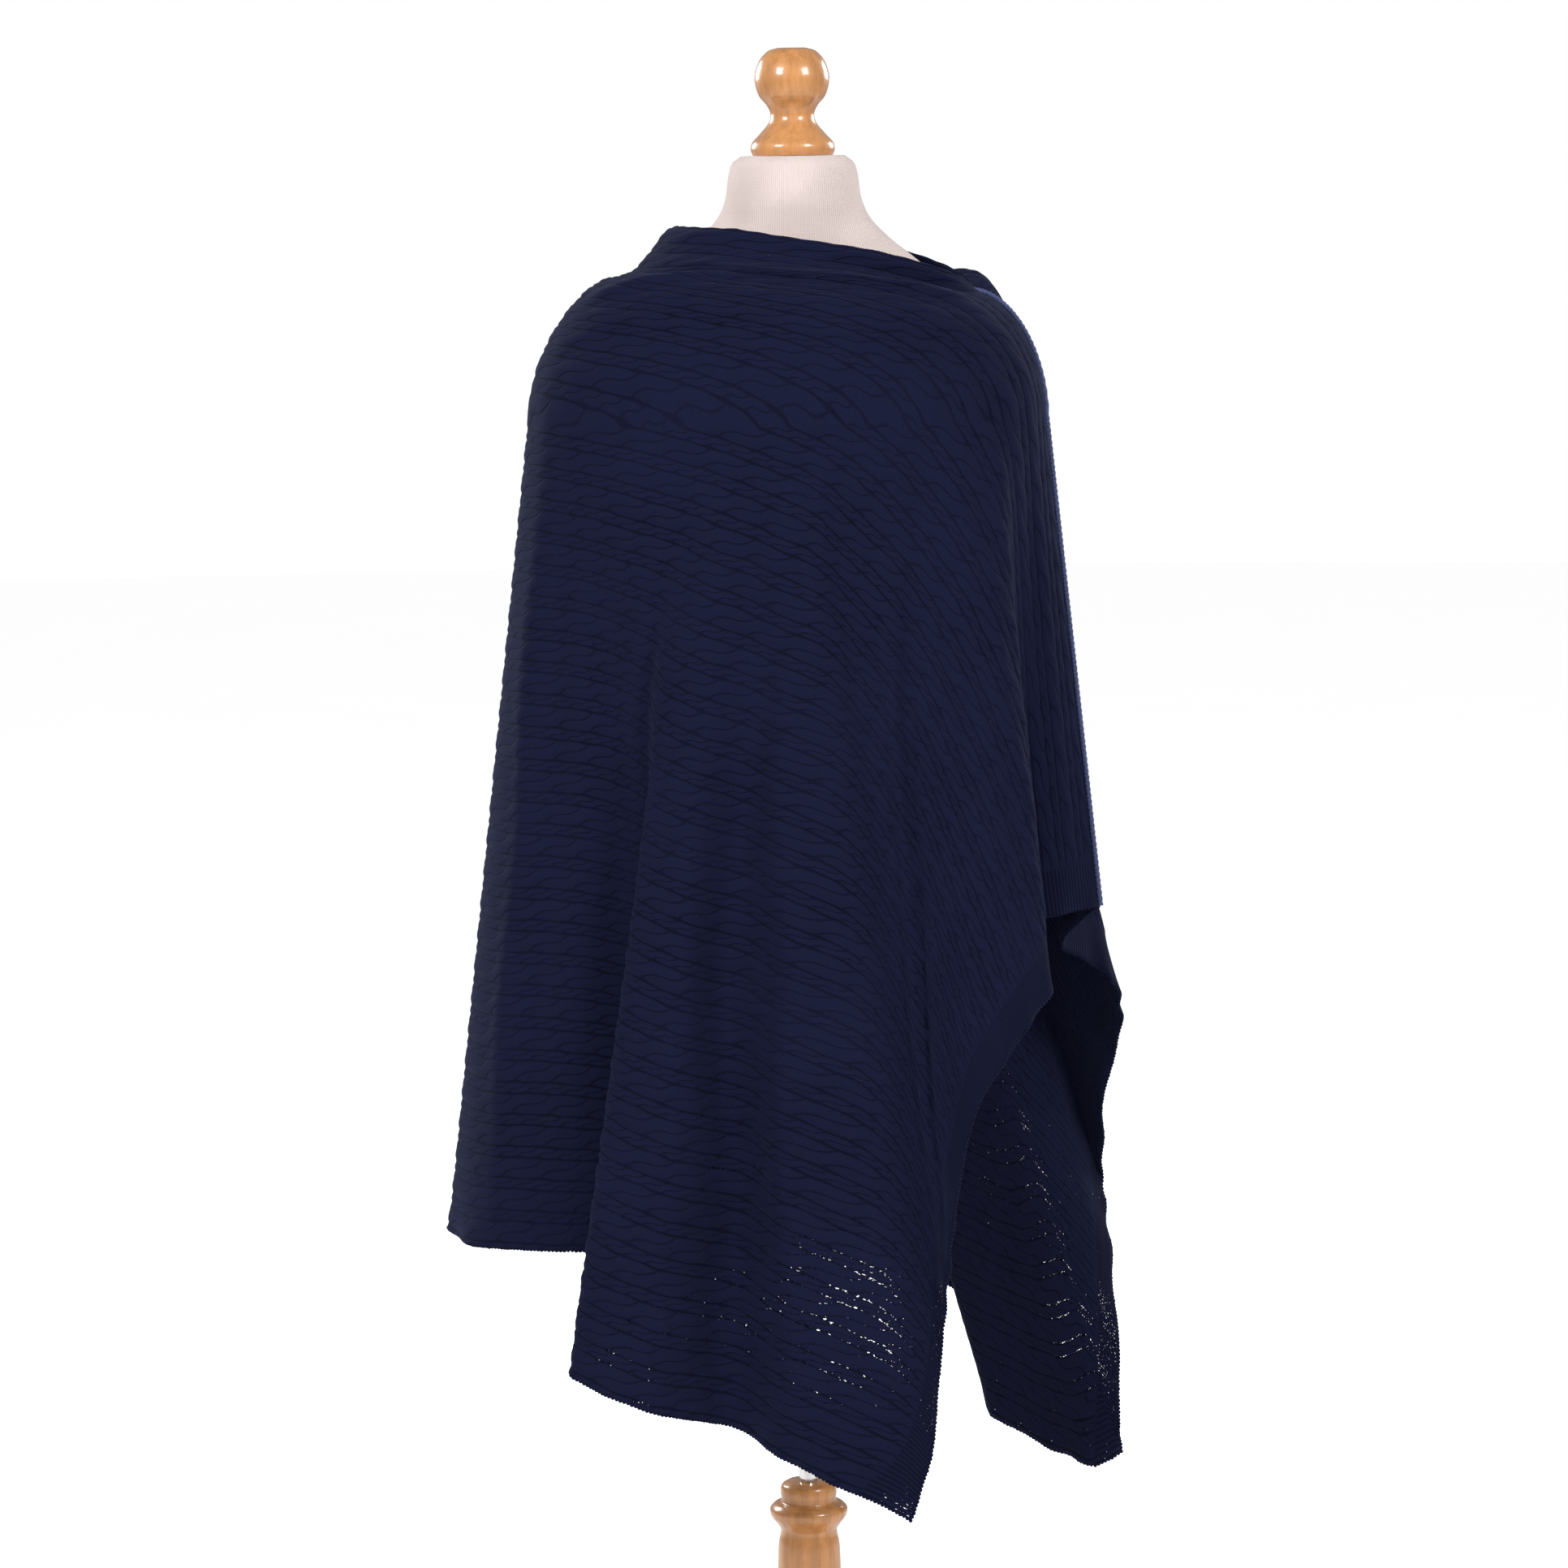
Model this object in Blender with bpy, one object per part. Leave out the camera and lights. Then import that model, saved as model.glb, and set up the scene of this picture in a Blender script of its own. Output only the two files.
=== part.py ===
"""Cashmere poncho on a limbless dress form with a turned wooden stand.

The garment is one knitted rectangle, folded over the wearer's right shoulder (at -X) and joined along one long edge.
Every point of the cloth has two flat coordinates: u, the distance from the neckline edge towards the bottom edge, and
v, the distance from the shoulder fold towards the short end, positive in front and negative behind. The cloth hangs
along fall lines that spread like a fan from the shoulders. Front is -Y, up is +Z, and the origin is the middle of the
underside of the base.
"""
import math

import bmesh
import bpy
import numpy as np
from mathutils import Vector
from mathutils.bvhtree import BVHTree

# Cut of the cloth
PANEL_WIDTH = 0.95
HALF_LENGTH = 0.86
NECK_HALF = 0.31
WALL = 0.003
PIECE_GAP = 0.0003

# Cables, raised on the outside only
CABLE_REPEAT = 0.028
CABLE_RISE = 0.0022
PANEL_ROWS = 27

# Fan of fall lines: the ring where the cloth starts to hang straight
RING_HEIGHT = 1.27
RING_U = 0.24
RING_V = 0.44
RING_CENTRE_X = -0.008
RING_HALF_WIDTH = 0.218
RING_HALF_DEPTH = 0.132

# Share of the drop that stays in the height, by the fall line's angle: the rest goes into the cloth's slant
LIFT = (
    # angle, share
    (-90.0, 1.0),
    (-83.0, 1.02),
    (-77.0, 1.04),
    (-72.0, 1.025),
    (-66.0, 0.995),
    (-60.0, 0.98),
    (-45.0, 0.962),
    (-38.0, 0.96),
    (-36.5, 1.0),
    (-34.5, 1.022),
    (-31.0, 1.045),
    (-27.0, 0.99),
    (-15.0, 0.99),
    (3.0, 0.99),
    (10.0, 0.965),
    (25.0, 0.975),
    (29.0, 0.965),
    (32.5, 0.948),
    (35.5, 0.94),
    (38.0, 0.946),
    (43.5, 0.948),
    (50.0, 0.958),
    (60.0, 0.975),
    (90.0, 1.0),
)

# Neck opening
NECK_CENTRE_X = 0.026
NECK_HALF_WIDTH = 0.125
NECK_FRONT_DEPTH = 0.088
NECK_BACK_DEPTH = 0.076
SHOULDER_ROUND = 1.85
COWL_RISE = 0.02
COWL_REACH = 0.13
COWL_DIP = 0.010
BACK_SHOULDER_RISE = 0.026
NECK_FOLD_RISE = 0.012

# Neckline height by its place, from the back seam end (-1) over the shoulder fold (0) to the front seam end (1)
NECKLINE = (
    # place, height
    (-1.0, 1.373),
    (-0.7, 1.396),
    (-0.35, 1.405),
    (0.0, 1.412),
    (0.3, 1.412),
    (0.6, 1.399),
    (1.0, 1.373),
)

# Folds: the fall line's angle in the flat cloth (degrees from the u direction), where it reaches the hem, the drop at
# which it leaves the plain ring, and how quickly it gets there (1 is straight, more is later)
FOLDS = (
    # angle, hem x, hem y, starts at, ease
    (-90.0, 0.2525, -0.030, 0.00, 1.0),
    (-83.0, 0.2380, -0.020, 0.00, 1.0),
    (-77.0, 0.2240, -0.004, 0.00, 1.0),
    (-72.0, 0.2480, 0.024, 0.00, 1.0),
    (-66.0, 0.2720, 0.044, 0.00, 1.0),
    (-60.0, 0.2790, 0.072, 0.00, 1.0),
    (-54.0, 0.2660, 0.098, 0.00, 1.0),
    (-48.0, 0.2660, 0.132, 0.00, 1.0),
    (-43.0, 0.2740, 0.098, 0.00, 1.0),
    (-38.0, 0.2760, 0.072, 0.00, 1.0),
    (-34.5, 0.2220, 0.108, 0.00, 1.0),
    (-31.0, 0.1680, 0.140, 0.00, 1.0),
    (-27.0, 0.1640, 0.190, 0.00, 1.0),
    (-23.0, 0.0850, 0.202, 0.00, 1.0),
    (-19.0, 0.0150, 0.176, 0.00, 1.0),
    (-14.0, -0.0700, 0.192, 0.00, 1.0),
    (-9.0, -0.1700, 0.170, 0.00, 1.0),
    (-5.0, -0.2550, 0.115, 0.00, 1.0),
    (0.0, -0.3080, 0.020, 0.00, 1.0),
    (4.0, -0.2750, -0.070, 0.00, 1.0),
    (9.0, -0.1950, -0.108, 0.00, 1.0),
    (13.0, -0.1300, -0.108, 0.05, 1.0),
    (17.0, -0.0850, -0.130, 0.10, 1.2),
    (21.0, -0.1300, -0.152, 0.10, 1.1),
    (25.0, -0.1980, -0.172, 0.10, 1.0),
    (29.0, -0.1360, -0.200, 0.05, 1.0),
    (32.5, -0.0640, -0.166, 0.10, 1.0),
    (35.5, 0.0050, -0.205, 0.05, 1.0),
    (38.0, 0.0860, -0.208, 0.00, 1.0),
    (43.5, 0.1120, -0.180, 0.10, 1.0),
    (50.0, 0.1240, -0.188, 0.10, 1.0),
    (57.0, 0.1430, -0.178, 0.05, 1.0),
    (61.0, 0.1670, -0.168, 0.00, 1.0),
    (65.0, 0.1900, -0.154, 0.00, 1.0),
    (69.0, 0.2060, -0.130, 0.00, 1.0),
    (74.0, 0.1640, -0.104, 0.00, 1.0),
    (80.0, 0.1820, -0.070, 0.00, 1.0),
    (85.0, 0.2240, -0.056, 0.00, 1.0),
    (90.0, 0.2525, -0.030, 0.00, 1.0),
)

# Dress form: level sections from the underside to the top of the neck
FORM_SECTIONS = (
    # height, half width, half depth, centre y
    (0.688, 0.150, 0.082, 0.006),
    (0.694, 0.168, 0.100, 0.006),
    (0.708, 0.179, 0.112, 0.006),
    (0.740, 0.183, 0.118, 0.006),
    (0.830, 0.180, 0.116, 0.006),
    (0.930, 0.155, 0.104, 0.002),
    (1.010, 0.136, 0.096, -0.002),
    (1.100, 0.147, 0.104, -0.004),
    (1.190, 0.163, 0.112, -0.004),
    (1.260, 0.174, 0.106, 0.000),
    (1.318, 0.178, 0.092, 0.006),
    (1.344, 0.169, 0.080, 0.007),
    (1.360, 0.154, 0.071, 0.007),
    (1.374, 0.133, 0.066, 0.006),
    (1.388, 0.112, 0.063, 0.005),
    (1.400, 0.097, 0.062, 0.006),
    (1.412, 0.082, 0.060, 0.004),
    (1.430, 0.065, 0.057, 0.002),
    (1.446, 0.058, 0.055, 0.000),
    (1.466, 0.055, 0.053, 0.000),
    (1.476, 0.052, 0.050, 0.000),
    (1.4825, 0.044, 0.043, 0.000),
)
FORM_AROUND = 44
SEAT_GAP = 0.0004

# Turned knob on the neck: radius and height down its outer side
KNOB_BASE = 1.4828
KNOB_PROFILE = (
    # radius, height above the knob's base
    (0.012, 0.0905),
    (0.020, 0.0880),
    (0.0275, 0.0800),
    (0.0314, 0.0690),
    (0.0314, 0.0610),
    (0.0280, 0.0500),
    (0.0215, 0.0420),
    (0.0186, 0.0350),
    (0.0200, 0.0280),
    (0.0280, 0.0180),
    (0.0350, 0.0100),
    (0.0357, 0.0050),
    (0.0340, 0.0000),
)

# Stand
POLE_RADIUS = 0.008
POLE_BOTTOM = 0.3303
COLUMN_PROFILE = (
    # radius, height
    (0.0190, 0.3300),
    (0.0235, 0.3270),
    (0.0248, 0.3200),
    (0.0240, 0.3130),
    (0.0300, 0.3105),
    (0.0340, 0.3060),
    (0.0330, 0.3000),
    (0.0280, 0.2930),
    (0.0250, 0.2880),
    (0.0250, 0.2840),
    (0.0267, 0.2760),
    (0.0280, 0.2400),
    (0.0300, 0.1500),
    (0.0285, 0.0800),
    (0.0300, 0.0480),
)
BASE_PROFILE = (
    # radius, height
    (0.0420, 0.0477),
    (0.0500, 0.0440),
    (0.0560, 0.0360),
    (0.1000, 0.0290),
    (0.1600, 0.0240),
    (0.1760, 0.0200),
    (0.1800, 0.0120),
    (0.1780, 0.0000),
)
TURNED_AROUND = 32


def clear_scene():
    """Remove what the file opens with."""
    for obj in list(bpy.data.objects):
        bpy.data.objects.remove(obj, do_unlink=True)


def make_material(name, colour, roughness, metallic=0.0):
    """One plain Principled material."""
    material = bpy.data.materials.new(name)
    material.use_nodes = True
    shader = material.node_tree.nodes["Principled BSDF"]
    shader.inputs["Base Color"].default_value = (*colour, 1.0)
    shader.inputs["Roughness"].default_value = roughness
    shader.inputs["Metallic"].default_value = metallic
    return material


def add_object(name, verts, faces, material, smooth=True):
    """One closed mesh object with its faces pointing out."""
    mesh = bpy.data.meshes.new(name)
    mesh.from_pydata([tuple(float(c) for c in v) for v in verts], [], faces)
    work = bmesh.new()
    work.from_mesh(mesh)
    bmesh.ops.recalc_face_normals(work, faces=work.faces)
    work.to_mesh(mesh)
    work.free()
    if smooth:
        mesh.shade_smooth()
    mesh.materials.append(material)
    obj = bpy.data.objects.new(name, mesh)
    bpy.context.scene.collection.objects.link(obj)
    return obj


def fold_columns():
    """The fold table as arrays, one for each column."""
    table = np.array(FOLDS)
    return np.radians(table[:, 0]), table[:, 1:3], table[:, 3], table[:, 4]


def hem_drop(angle):
    """How far the fall line at this angle drops before it meets an edge of the rectangle."""
    to_bottom = PANEL_WIDTH / np.maximum(np.cos(angle), 1e-6) - RING_U
    to_end = HALF_LENGTH / np.maximum(np.abs(np.sin(angle)), 1e-6) - RING_V
    return np.minimum(to_bottom, to_end)


def ring_length(angle, drop):
    """Cloth length along the ring from the shoulder fold to this fall line."""
    swing = np.sin(2 * angle) / 4
    return RING_U * (angle / 2 - swing) + RING_V * (angle / 2 + swing) + drop * angle


def ring_ellipse():
    """Places on the ring as a dense curve, with the share of its length from back seam to front seam."""
    turn = np.linspace(0.0, 2 * math.pi, 721)
    x = RING_CENTRE_X + RING_HALF_WIDTH * np.cos(turn)
    y = RING_HALF_DEPTH * np.sin(turn)
    steps = np.hypot(np.diff(x), np.diff(y))
    share = np.concatenate([[0.0], np.cumsum(steps)]) / steps.sum()
    return x, y, share


def plain_ring(angle):
    """Place of a fall line on the ring, before it leaves for its fold."""
    x, y, share = ring_ellipse()
    along = ring_length(angle, 0.0)
    quarter = ring_length(math.pi / 2, 0.0)
    place = (along / quarter + 1) / 2
    return np.stack([np.interp(place, share, x), np.interp(place, share, y)], -1)


def fold_places(drop):
    """Plan position of every table line at each drop: an array of points by lines by 2."""
    angle, hem, start, ease = fold_columns()
    top = plain_ring(angle)
    share = (drop[:, None] - start) / (hem_drop(angle) - start)
    share = np.clip(share, 0.0, 1.15) ** ease
    return top + (hem - top) * share[..., None]


def hanging_plan(angle, drop):
    """Plan position on the hanging cloth: a smooth closed curve through the table lines."""
    lines = fold_columns()[0]
    count = len(lines) - 1
    places = fold_places(drop)[:, :count]
    lengths = ring_length(lines[None, :], drop[:, None])
    total = lengths[:, -1] - lengths[:, 0]
    here = ring_length(angle, drop)
    cell = np.clip(np.searchsorted(lines, angle, side="right") - 1, 0, count - 1)
    rows = np.arange(len(angle))

    def knot(shift):
        index = cell + shift
        wrapped = index % count
        return places[rows, wrapped], lengths[rows, wrapped] + (index // count) * total

    (before, s_before), (first, s_first), (second, s_second), (after, s_after) = (knot(k) for k in (-1, 0, 1, 2))
    span = s_second - s_first
    t = ((here - s_first) / span)[:, None]
    tangent_a = (second - before) / (s_second - s_before)[:, None] * span[:, None]
    tangent_b = (after - first) / (s_after - s_first)[:, None] * span[:, None]
    return (
        (2 * t**3 - 3 * t**2 + 1) * first
        + (t**3 - 2 * t**2 + t) * tangent_a
        + (3 * t**2 - 2 * t**3) * second
        + (t**3 - t**2) * tangent_b
    )


def neckline_point(place):
    """The neckline in space; place runs from -1 (back seam end) over 0 (shoulder fold) to 1 (front seam end)."""
    table = np.array(NECKLINE)
    turn = (place + 1) * math.pi
    depth = np.where(place < 0, NECK_BACK_DEPTH, NECK_FRONT_DEPTH)
    x = NECK_CENTRE_X + NECK_HALF_WIDTH * np.cos(turn)
    y = depth * np.sin(turn)
    return x, y, np.interp(place, table[:, 0], table[:, 1])


def shoulder_point(angle, share):
    """The cloth between the neckline (share 0) and the ring (share 1)."""
    place = np.sin(angle)
    neck_x, neck_y, neck_z = neckline_point(place)
    ring = hanging_plan(angle, np.zeros_like(angle))
    reach = np.clip(share, 0.0, 1.0)
    away = 1 - (1 - reach) ** 1.25
    fold = NECK_FOLD_RISE * np.exp(-(((reach - 0.55) / 0.18) ** 2)) * np.clip(np.sin(angle * 2), 0, 1) ** 2
    height = neck_z - RING_HEIGHT
    z = RING_HEIGHT + height * (1 - away**SHOULDER_ROUND) ** (1 / SHOULDER_ROUND)
    z = z + COWL_RISE * np.exp(-((reach / COWL_REACH) ** 2)) * np.cos(angle) ** 2
    z = z - COWL_DIP * np.exp(-(((reach - 0.26) / 0.14) ** 2)) * np.cos(angle) ** 6
    turned = np.degrees(angle)
    behind = np.exp(-(((turned + 68) / 15) ** 2)) * (1 - np.exp(-(((turned + 90) / 8) ** 2)))
    z = z + BACK_SHOULDER_RISE * np.exp(-(((reach - 0.42) / 0.25) ** 2)) * behind
    x = neck_x + (ring[:, 0] - neck_x) * away
    y = neck_y + (ring[:, 1] - neck_y) * away - fold
    return np.stack([x, y, z], -1)


def cloth_point(angle, drop):
    """A point of the cloth: drop from -1 to 0 goes from neckline to ring, and above 0 it is metres below the ring."""
    angle = (angle + math.pi / 2) % math.pi - math.pi / 2
    low = np.maximum(drop, 0.0)
    plan = hanging_plan(angle, low)
    table = np.array(LIFT)
    lift = np.interp(np.degrees(angle), table[:, 0], table[:, 1])
    hanging = np.column_stack([plan, RING_HEIGHT - low * lift])
    shoulder = shoulder_point(angle, np.clip(drop + 1, 0.0, 1.0))
    return np.where((drop < 0)[:, None], shoulder, hanging)


def flat_to_fan(u, v):
    """The fall line's angle and the drop of a flat point, by halving."""
    sign = np.where(v < 0, -1.0, 1.0)
    v = np.abs(v)
    above = (u / RING_U) ** 2 + (v / RING_V) ** 2 < 1
    low = np.zeros_like(u)
    high = np.full_like(u, math.pi / 2)

    def frame(angle):
        ring_u = RING_U * np.cos(angle)
        ring_v = RING_V * np.sin(angle)
        neck_v = NECK_HALF * np.sin(angle)
        along_u = np.where(above, ring_u, np.cos(angle))
        along_v = np.where(above, ring_v - neck_v, np.sin(angle))
        base_u = np.where(above, 0.0, ring_u)
        base_v = np.where(above, neck_v, ring_v)
        return base_u, base_v, along_u, along_v

    for _ in range(40):
        middle = (low + high) / 2
        base_u, base_v, along_u, along_v = frame(middle)
        beyond = along_u * (v - base_v) - along_v * (u - base_u) > 0
        low = np.where(beyond, middle, low)
        high = np.where(beyond, high, middle)
    angle = (low + high) / 2
    base_u, base_v, along_u, along_v = frame(angle)
    reach = ((u - base_u) * along_u + (v - base_v) * along_v) / (along_u**2 + along_v**2)
    drop = np.where(above, np.clip(reach, 0, 1) - 1, np.maximum(reach, 0.0))
    return angle * sign, drop


def cloth_frame(angle, drop):
    """Point and outward direction on the cloth."""
    step = 0.004
    point = cloth_point(angle, drop)
    around = cloth_point(angle + step, drop) - cloth_point(angle - step, drop)
    down_a = cloth_point(angle, np.clip(drop - step, -1, None))
    down_b = cloth_point(angle, drop + step)
    out = np.cross(down_b - down_a, around)
    return point, out / np.linalg.norm(out, axis=1)[:, None]


def wall_grid(columns, rows, rise):
    """Outer and inner points of a piece, rows by columns, with the cables raised on the outside."""
    u, v = np.meshgrid(columns, rows)
    angle, drop = flat_to_fan(u.ravel(), v.ravel())
    point, out = cloth_frame(angle, drop)
    outer = point + out * (WALL / 2 + rise(u.ravel(), v.ravel())[:, None])
    inner = point - out * WALL / 2
    shape = (len(rows), len(columns), 3)
    return outer.reshape(shape), inner.reshape(shape)[:, ::2]


def wall_faces(row_count, outer_count):
    """Faces of a closed wall whose inside has every second column of its outside."""
    inner_count = (outer_count + 1) // 2
    base = row_count * outer_count

    def out(r, c):
        return r * outer_count + c

    def ins(r, c):
        return base + r * inner_count + c

    faces = []
    for r in range(row_count - 1):
        for c in range(outer_count - 1):
            faces.append((out(r, c), out(r, c + 1), out(r + 1, c + 1), out(r + 1, c)))
        for c in range(inner_count - 1):
            faces.append((ins(r, c), ins(r + 1, c), ins(r + 1, c + 1), ins(r, c + 1)))
        for c, c_in in ((0, 0), (outer_count - 1, inner_count - 1)):
            faces.append((out(r, c), out(r + 1, c), ins(r + 1, c_in), ins(r, c_in)))
    for r in (0, row_count - 1):
        for c in range(inner_count - 1):
            faces.append((out(r, 2 * c), out(r, 2 * c + 1), ins(r, c)))
            faces.append((out(r, 2 * c + 1), ins(r, c + 1), ins(r, c)))
            faces.append((out(r, 2 * c + 1), out(r, 2 * c + 2), ins(r, c + 1)))
    return faces


def panel_columns():
    """Column lines across the cloth: one on each cable and one in each trough, an odd number."""
    count = 2 * round(PANEL_WIDTH / CABLE_REPEAT) + 1
    return np.linspace(PIECE_GAP / 2, PANEL_WIDTH, count)


def cable_rise(u, v):
    """Height of the cables: full on every second column line, none at the edges."""
    half = PANEL_WIDTH / round(PANEL_WIDTH / CABLE_REPEAT) / 2
    index = np.round(u / half)
    return np.where(index % 2 == 1, CABLE_RISE, 0.0)


def no_rise(u, v):
    """A plain band."""
    return np.zeros_like(u)


def add_wall(name, rows, rise, material, drop_by):
    """One piece of the garment as a closed wall."""
    columns = panel_columns()
    outer, inner = wall_grid(columns, rows, rise)
    verts = np.concatenate([outer.reshape(-1, 3), inner.reshape(-1, 3)])
    verts[:, 2] -= drop_by
    return add_object(name, verts, wall_faces(len(rows), len(columns)), material)


def add_side_seam(rows, material, drop_by):
    """The welt along the join, a slim round cord lying on the outside."""
    radius = 0.0024
    sides = 6
    angle = np.full(len(rows), math.pi / 2 - 1e-7)
    drop = np.where(rows < RING_V, (rows - NECK_HALF) / (RING_V - NECK_HALF) - 1, rows - RING_V)
    point, out = cloth_frame(angle, drop)
    along = np.gradient(point, axis=0)
    along /= np.linalg.norm(along, axis=1)[:, None]
    side = np.cross(out, along)
    centre = point + out * (WALL / 2 + PIECE_GAP + radius)
    centre[:, 2] -= drop_by
    verts = []
    for k in range(sides):
        turn = 2 * math.pi * (k + 0.5) / sides
        verts.append(centre + (out * math.sin(turn) + side * math.cos(turn)) * radius)
    verts = np.stack(verts, 1).reshape(-1, 3)
    faces = [tuple(range(sides)), tuple(range(len(verts) - 1, len(verts) - sides - 1, -1))]
    for r in range(len(rows) - 1):
        for k in range(sides):
            faces.append(
                (r * sides + k, r * sides + (k + 1) % sides, (r + 1) * sides + (k + 1) % sides, (r + 1) * sides + k)
            )
    return add_object("side_seam", verts, faces, material)


def add_loft(name, rings, around, material):
    """A closed solid through level rings of (height, half width, half depth, centre y)."""
    verts = []
    for height, half_width, half_depth, centre_y in rings:
        for k in range(around):
            turn = 2 * math.pi * k / around
            verts.append((half_width * math.cos(turn), centre_y + half_depth * math.sin(turn), height))
    faces = [tuple(range(around)), tuple(range(len(verts) - around, len(verts)))]
    for r in range(len(rings) - 1):
        for k in range(around):
            nxt = (k + 1) % around
            faces.append((r * around + k, r * around + nxt, (r + 1) * around + nxt, (r + 1) * around + k))
    return add_object(name, verts, faces, material)


def add_turned(name, profile, base, material):
    """A turned piece about the Z axis from its outer profile."""
    rings = [(base + height, radius, radius, 0.0) for radius, height in profile]
    return add_loft(name, rings, TURNED_AROUND, material)


def seat_drop(form, rows):
    """How far the cloth comes down so that its inside rests a hair above the form's shoulders."""
    shoulder_rows = rows[rows < RING_V]
    _, inner = wall_grid(panel_columns(), np.concatenate([-shoulder_rows[::-1], shoulder_rows]), no_rise)
    rows, columns = inner.shape[:2]
    faces = [
        (r * columns + c, r * columns + c + 1, (r + 1) * columns + c + 1, (r + 1) * columns + c)
        for r in range(rows - 1)
        for c in range(columns - 1)
    ]
    cloth = BVHTree.FromPolygons([tuple(p) for p in inner.reshape(-1, 3)], faces)
    form_verts = [tuple(v.co) for v in form.data.vertices]
    body = BVHTree.FromPolygons(form_verts, [tuple(p.vertices) for p in form.data.polygons])
    gaps = []
    for vertex in form.data.vertices:
        hit = cloth.ray_cast(vertex.co, Vector((0, 0, 1)))[3]
        if vertex.co.z > 1.3 and hit is not None:
            gaps.append(hit)
    for point in inner.reshape(-1, 3):
        hit = body.ray_cast(Vector(point), Vector((0, 0, -1)))[3]
        if hit is not None:
            gaps.append(hit)
    return min(gaps) - SEAT_GAP


def main():
    clear_scene()
    wool = make_material("navy_cashmere", (0.012, 0.016, 0.05), 0.9)
    jersey = make_material("cream_jersey", (0.78, 0.70, 0.60), 0.85)
    wood = make_material("honey_wood", (0.52, 0.27, 0.09), 0.3)
    chrome = make_material("chrome", (0.8, 0.8, 0.8), 0.12, 1.0)

    form = add_loft("dress_form", FORM_SECTIONS, FORM_AROUND, jersey)
    add_turned("neck_knob", KNOB_PROFILE, KNOB_BASE, wood)
    pole_top = FORM_SECTIONS[0][0] - PIECE_GAP
    add_turned("stand_pole", ((POLE_RADIUS, pole_top), (POLE_RADIUS, POLE_BOTTOM)), 0.0, chrome)
    add_turned("stand_column", COLUMN_PROFILE, 0.0, wood)
    add_turned("stand_base", BASE_PROFILE, 0.0, wood)

    front_rows = np.linspace(PIECE_GAP / 2, HALF_LENGTH, PANEL_ROWS)
    drop_by = seat_drop(form, front_rows)
    add_wall("front_panel", front_rows, cable_rise, wool, drop_by)
    add_wall("back_panel", -front_rows[::-1], cable_rise, wool, drop_by)
    add_side_seam(front_rows[front_rows > NECK_HALF], wool, drop_by)


main()
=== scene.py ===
"""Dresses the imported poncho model: cable knit cashmere on a limbless jersey form with a turned, varnished stand.

Every point of the cloth has two flat coordinates: u, the distance from the neckline edge towards the bottom edge, and
v, the distance from the shoulder fold towards the short end, positive in front and negative behind.
"""

import functools
import math

import bpy
import numpy as np
from mathutils import Matrix, Vector
from mathutils.bvhtree import BVHTree


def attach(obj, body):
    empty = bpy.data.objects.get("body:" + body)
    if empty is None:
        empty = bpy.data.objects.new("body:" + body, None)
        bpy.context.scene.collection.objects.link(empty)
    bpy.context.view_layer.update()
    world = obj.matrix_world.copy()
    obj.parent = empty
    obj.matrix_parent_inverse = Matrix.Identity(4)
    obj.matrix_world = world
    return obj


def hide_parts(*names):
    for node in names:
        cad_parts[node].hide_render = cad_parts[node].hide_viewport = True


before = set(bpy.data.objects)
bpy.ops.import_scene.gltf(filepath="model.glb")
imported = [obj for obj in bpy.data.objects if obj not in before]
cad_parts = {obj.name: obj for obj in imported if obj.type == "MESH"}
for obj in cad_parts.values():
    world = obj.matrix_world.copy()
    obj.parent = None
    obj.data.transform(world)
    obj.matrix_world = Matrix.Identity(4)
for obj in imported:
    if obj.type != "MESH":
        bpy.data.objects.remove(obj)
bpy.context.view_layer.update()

bl_info = {
    "name": "Cable knit poncho on dress form",
    "version": (1, 0, 0),
    "blender": (4, 5, 0),
    "location": "3D View > Sidebar > Poncho",
    "description": "Makes the knitted poncho, its jersey form, the turned stand and the studio",
    "category": "Object",
}

# Cut of the cloth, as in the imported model
PANEL_WIDTH = 0.95
HALF_LENGTH = 0.86
NECK_HALF = 0.31
WALL = 0.003
REPEATS = 34
REPEAT = PANEL_WIDTH / REPEATS
SEAT_GAP = 0.0005

# Fan of fall lines: the ring where the cloth starts to hang straight
RING_HEIGHT = 1.27
RING_U = 0.24
RING_V = 0.44
RING_CENTRE_X = -0.008
RING_HALF_WIDTH = 0.218
RING_HALF_DEPTH = 0.132

# Share of the drop that stays in the height, by the fall line's angle
LIFT = (
    # angle, share
    (-90.0, 1.0),
    (-83.0, 1.02),
    (-77.0, 1.04),
    (-72.0, 1.025),
    (-66.0, 0.995),
    (-60.0, 0.98),
    (-45.0, 0.962),
    (-38.0, 0.96),
    (-36.5, 1.0),
    (-34.5, 1.022),
    (-31.0, 1.045),
    (-27.0, 0.99),
    (-15.0, 0.99),
    (3.0, 0.99),
    (10.0, 0.965),
    (25.0, 0.975),
    (29.0, 0.965),
    (32.5, 0.948),
    (35.5, 0.94),
    (38.0, 0.946),
    (43.5, 0.948),
    (50.0, 0.958),
    (60.0, 0.975),
    (90.0, 1.0),
)

# Neck opening
NECK_CENTRE_X = 0.026
NECK_HALF_WIDTH = 0.125
NECK_FRONT_DEPTH = 0.088
NECK_BACK_DEPTH = 0.076
SHOULDER_ROUND = 1.85
COWL_RISE = 0.02
COWL_REACH = 0.13
COWL_DIP = 0.010
BACK_SHOULDER_RISE = 0.026
NECK_FOLD_RISE = 0.012
NECKLINE = (
    # place, height
    (-1.0, 1.373),
    (-0.7, 1.396),
    (-0.35, 1.405),
    (0.0, 1.412),
    (0.3, 1.412),
    (0.6, 1.399),
    (1.0, 1.373),
)

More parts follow.
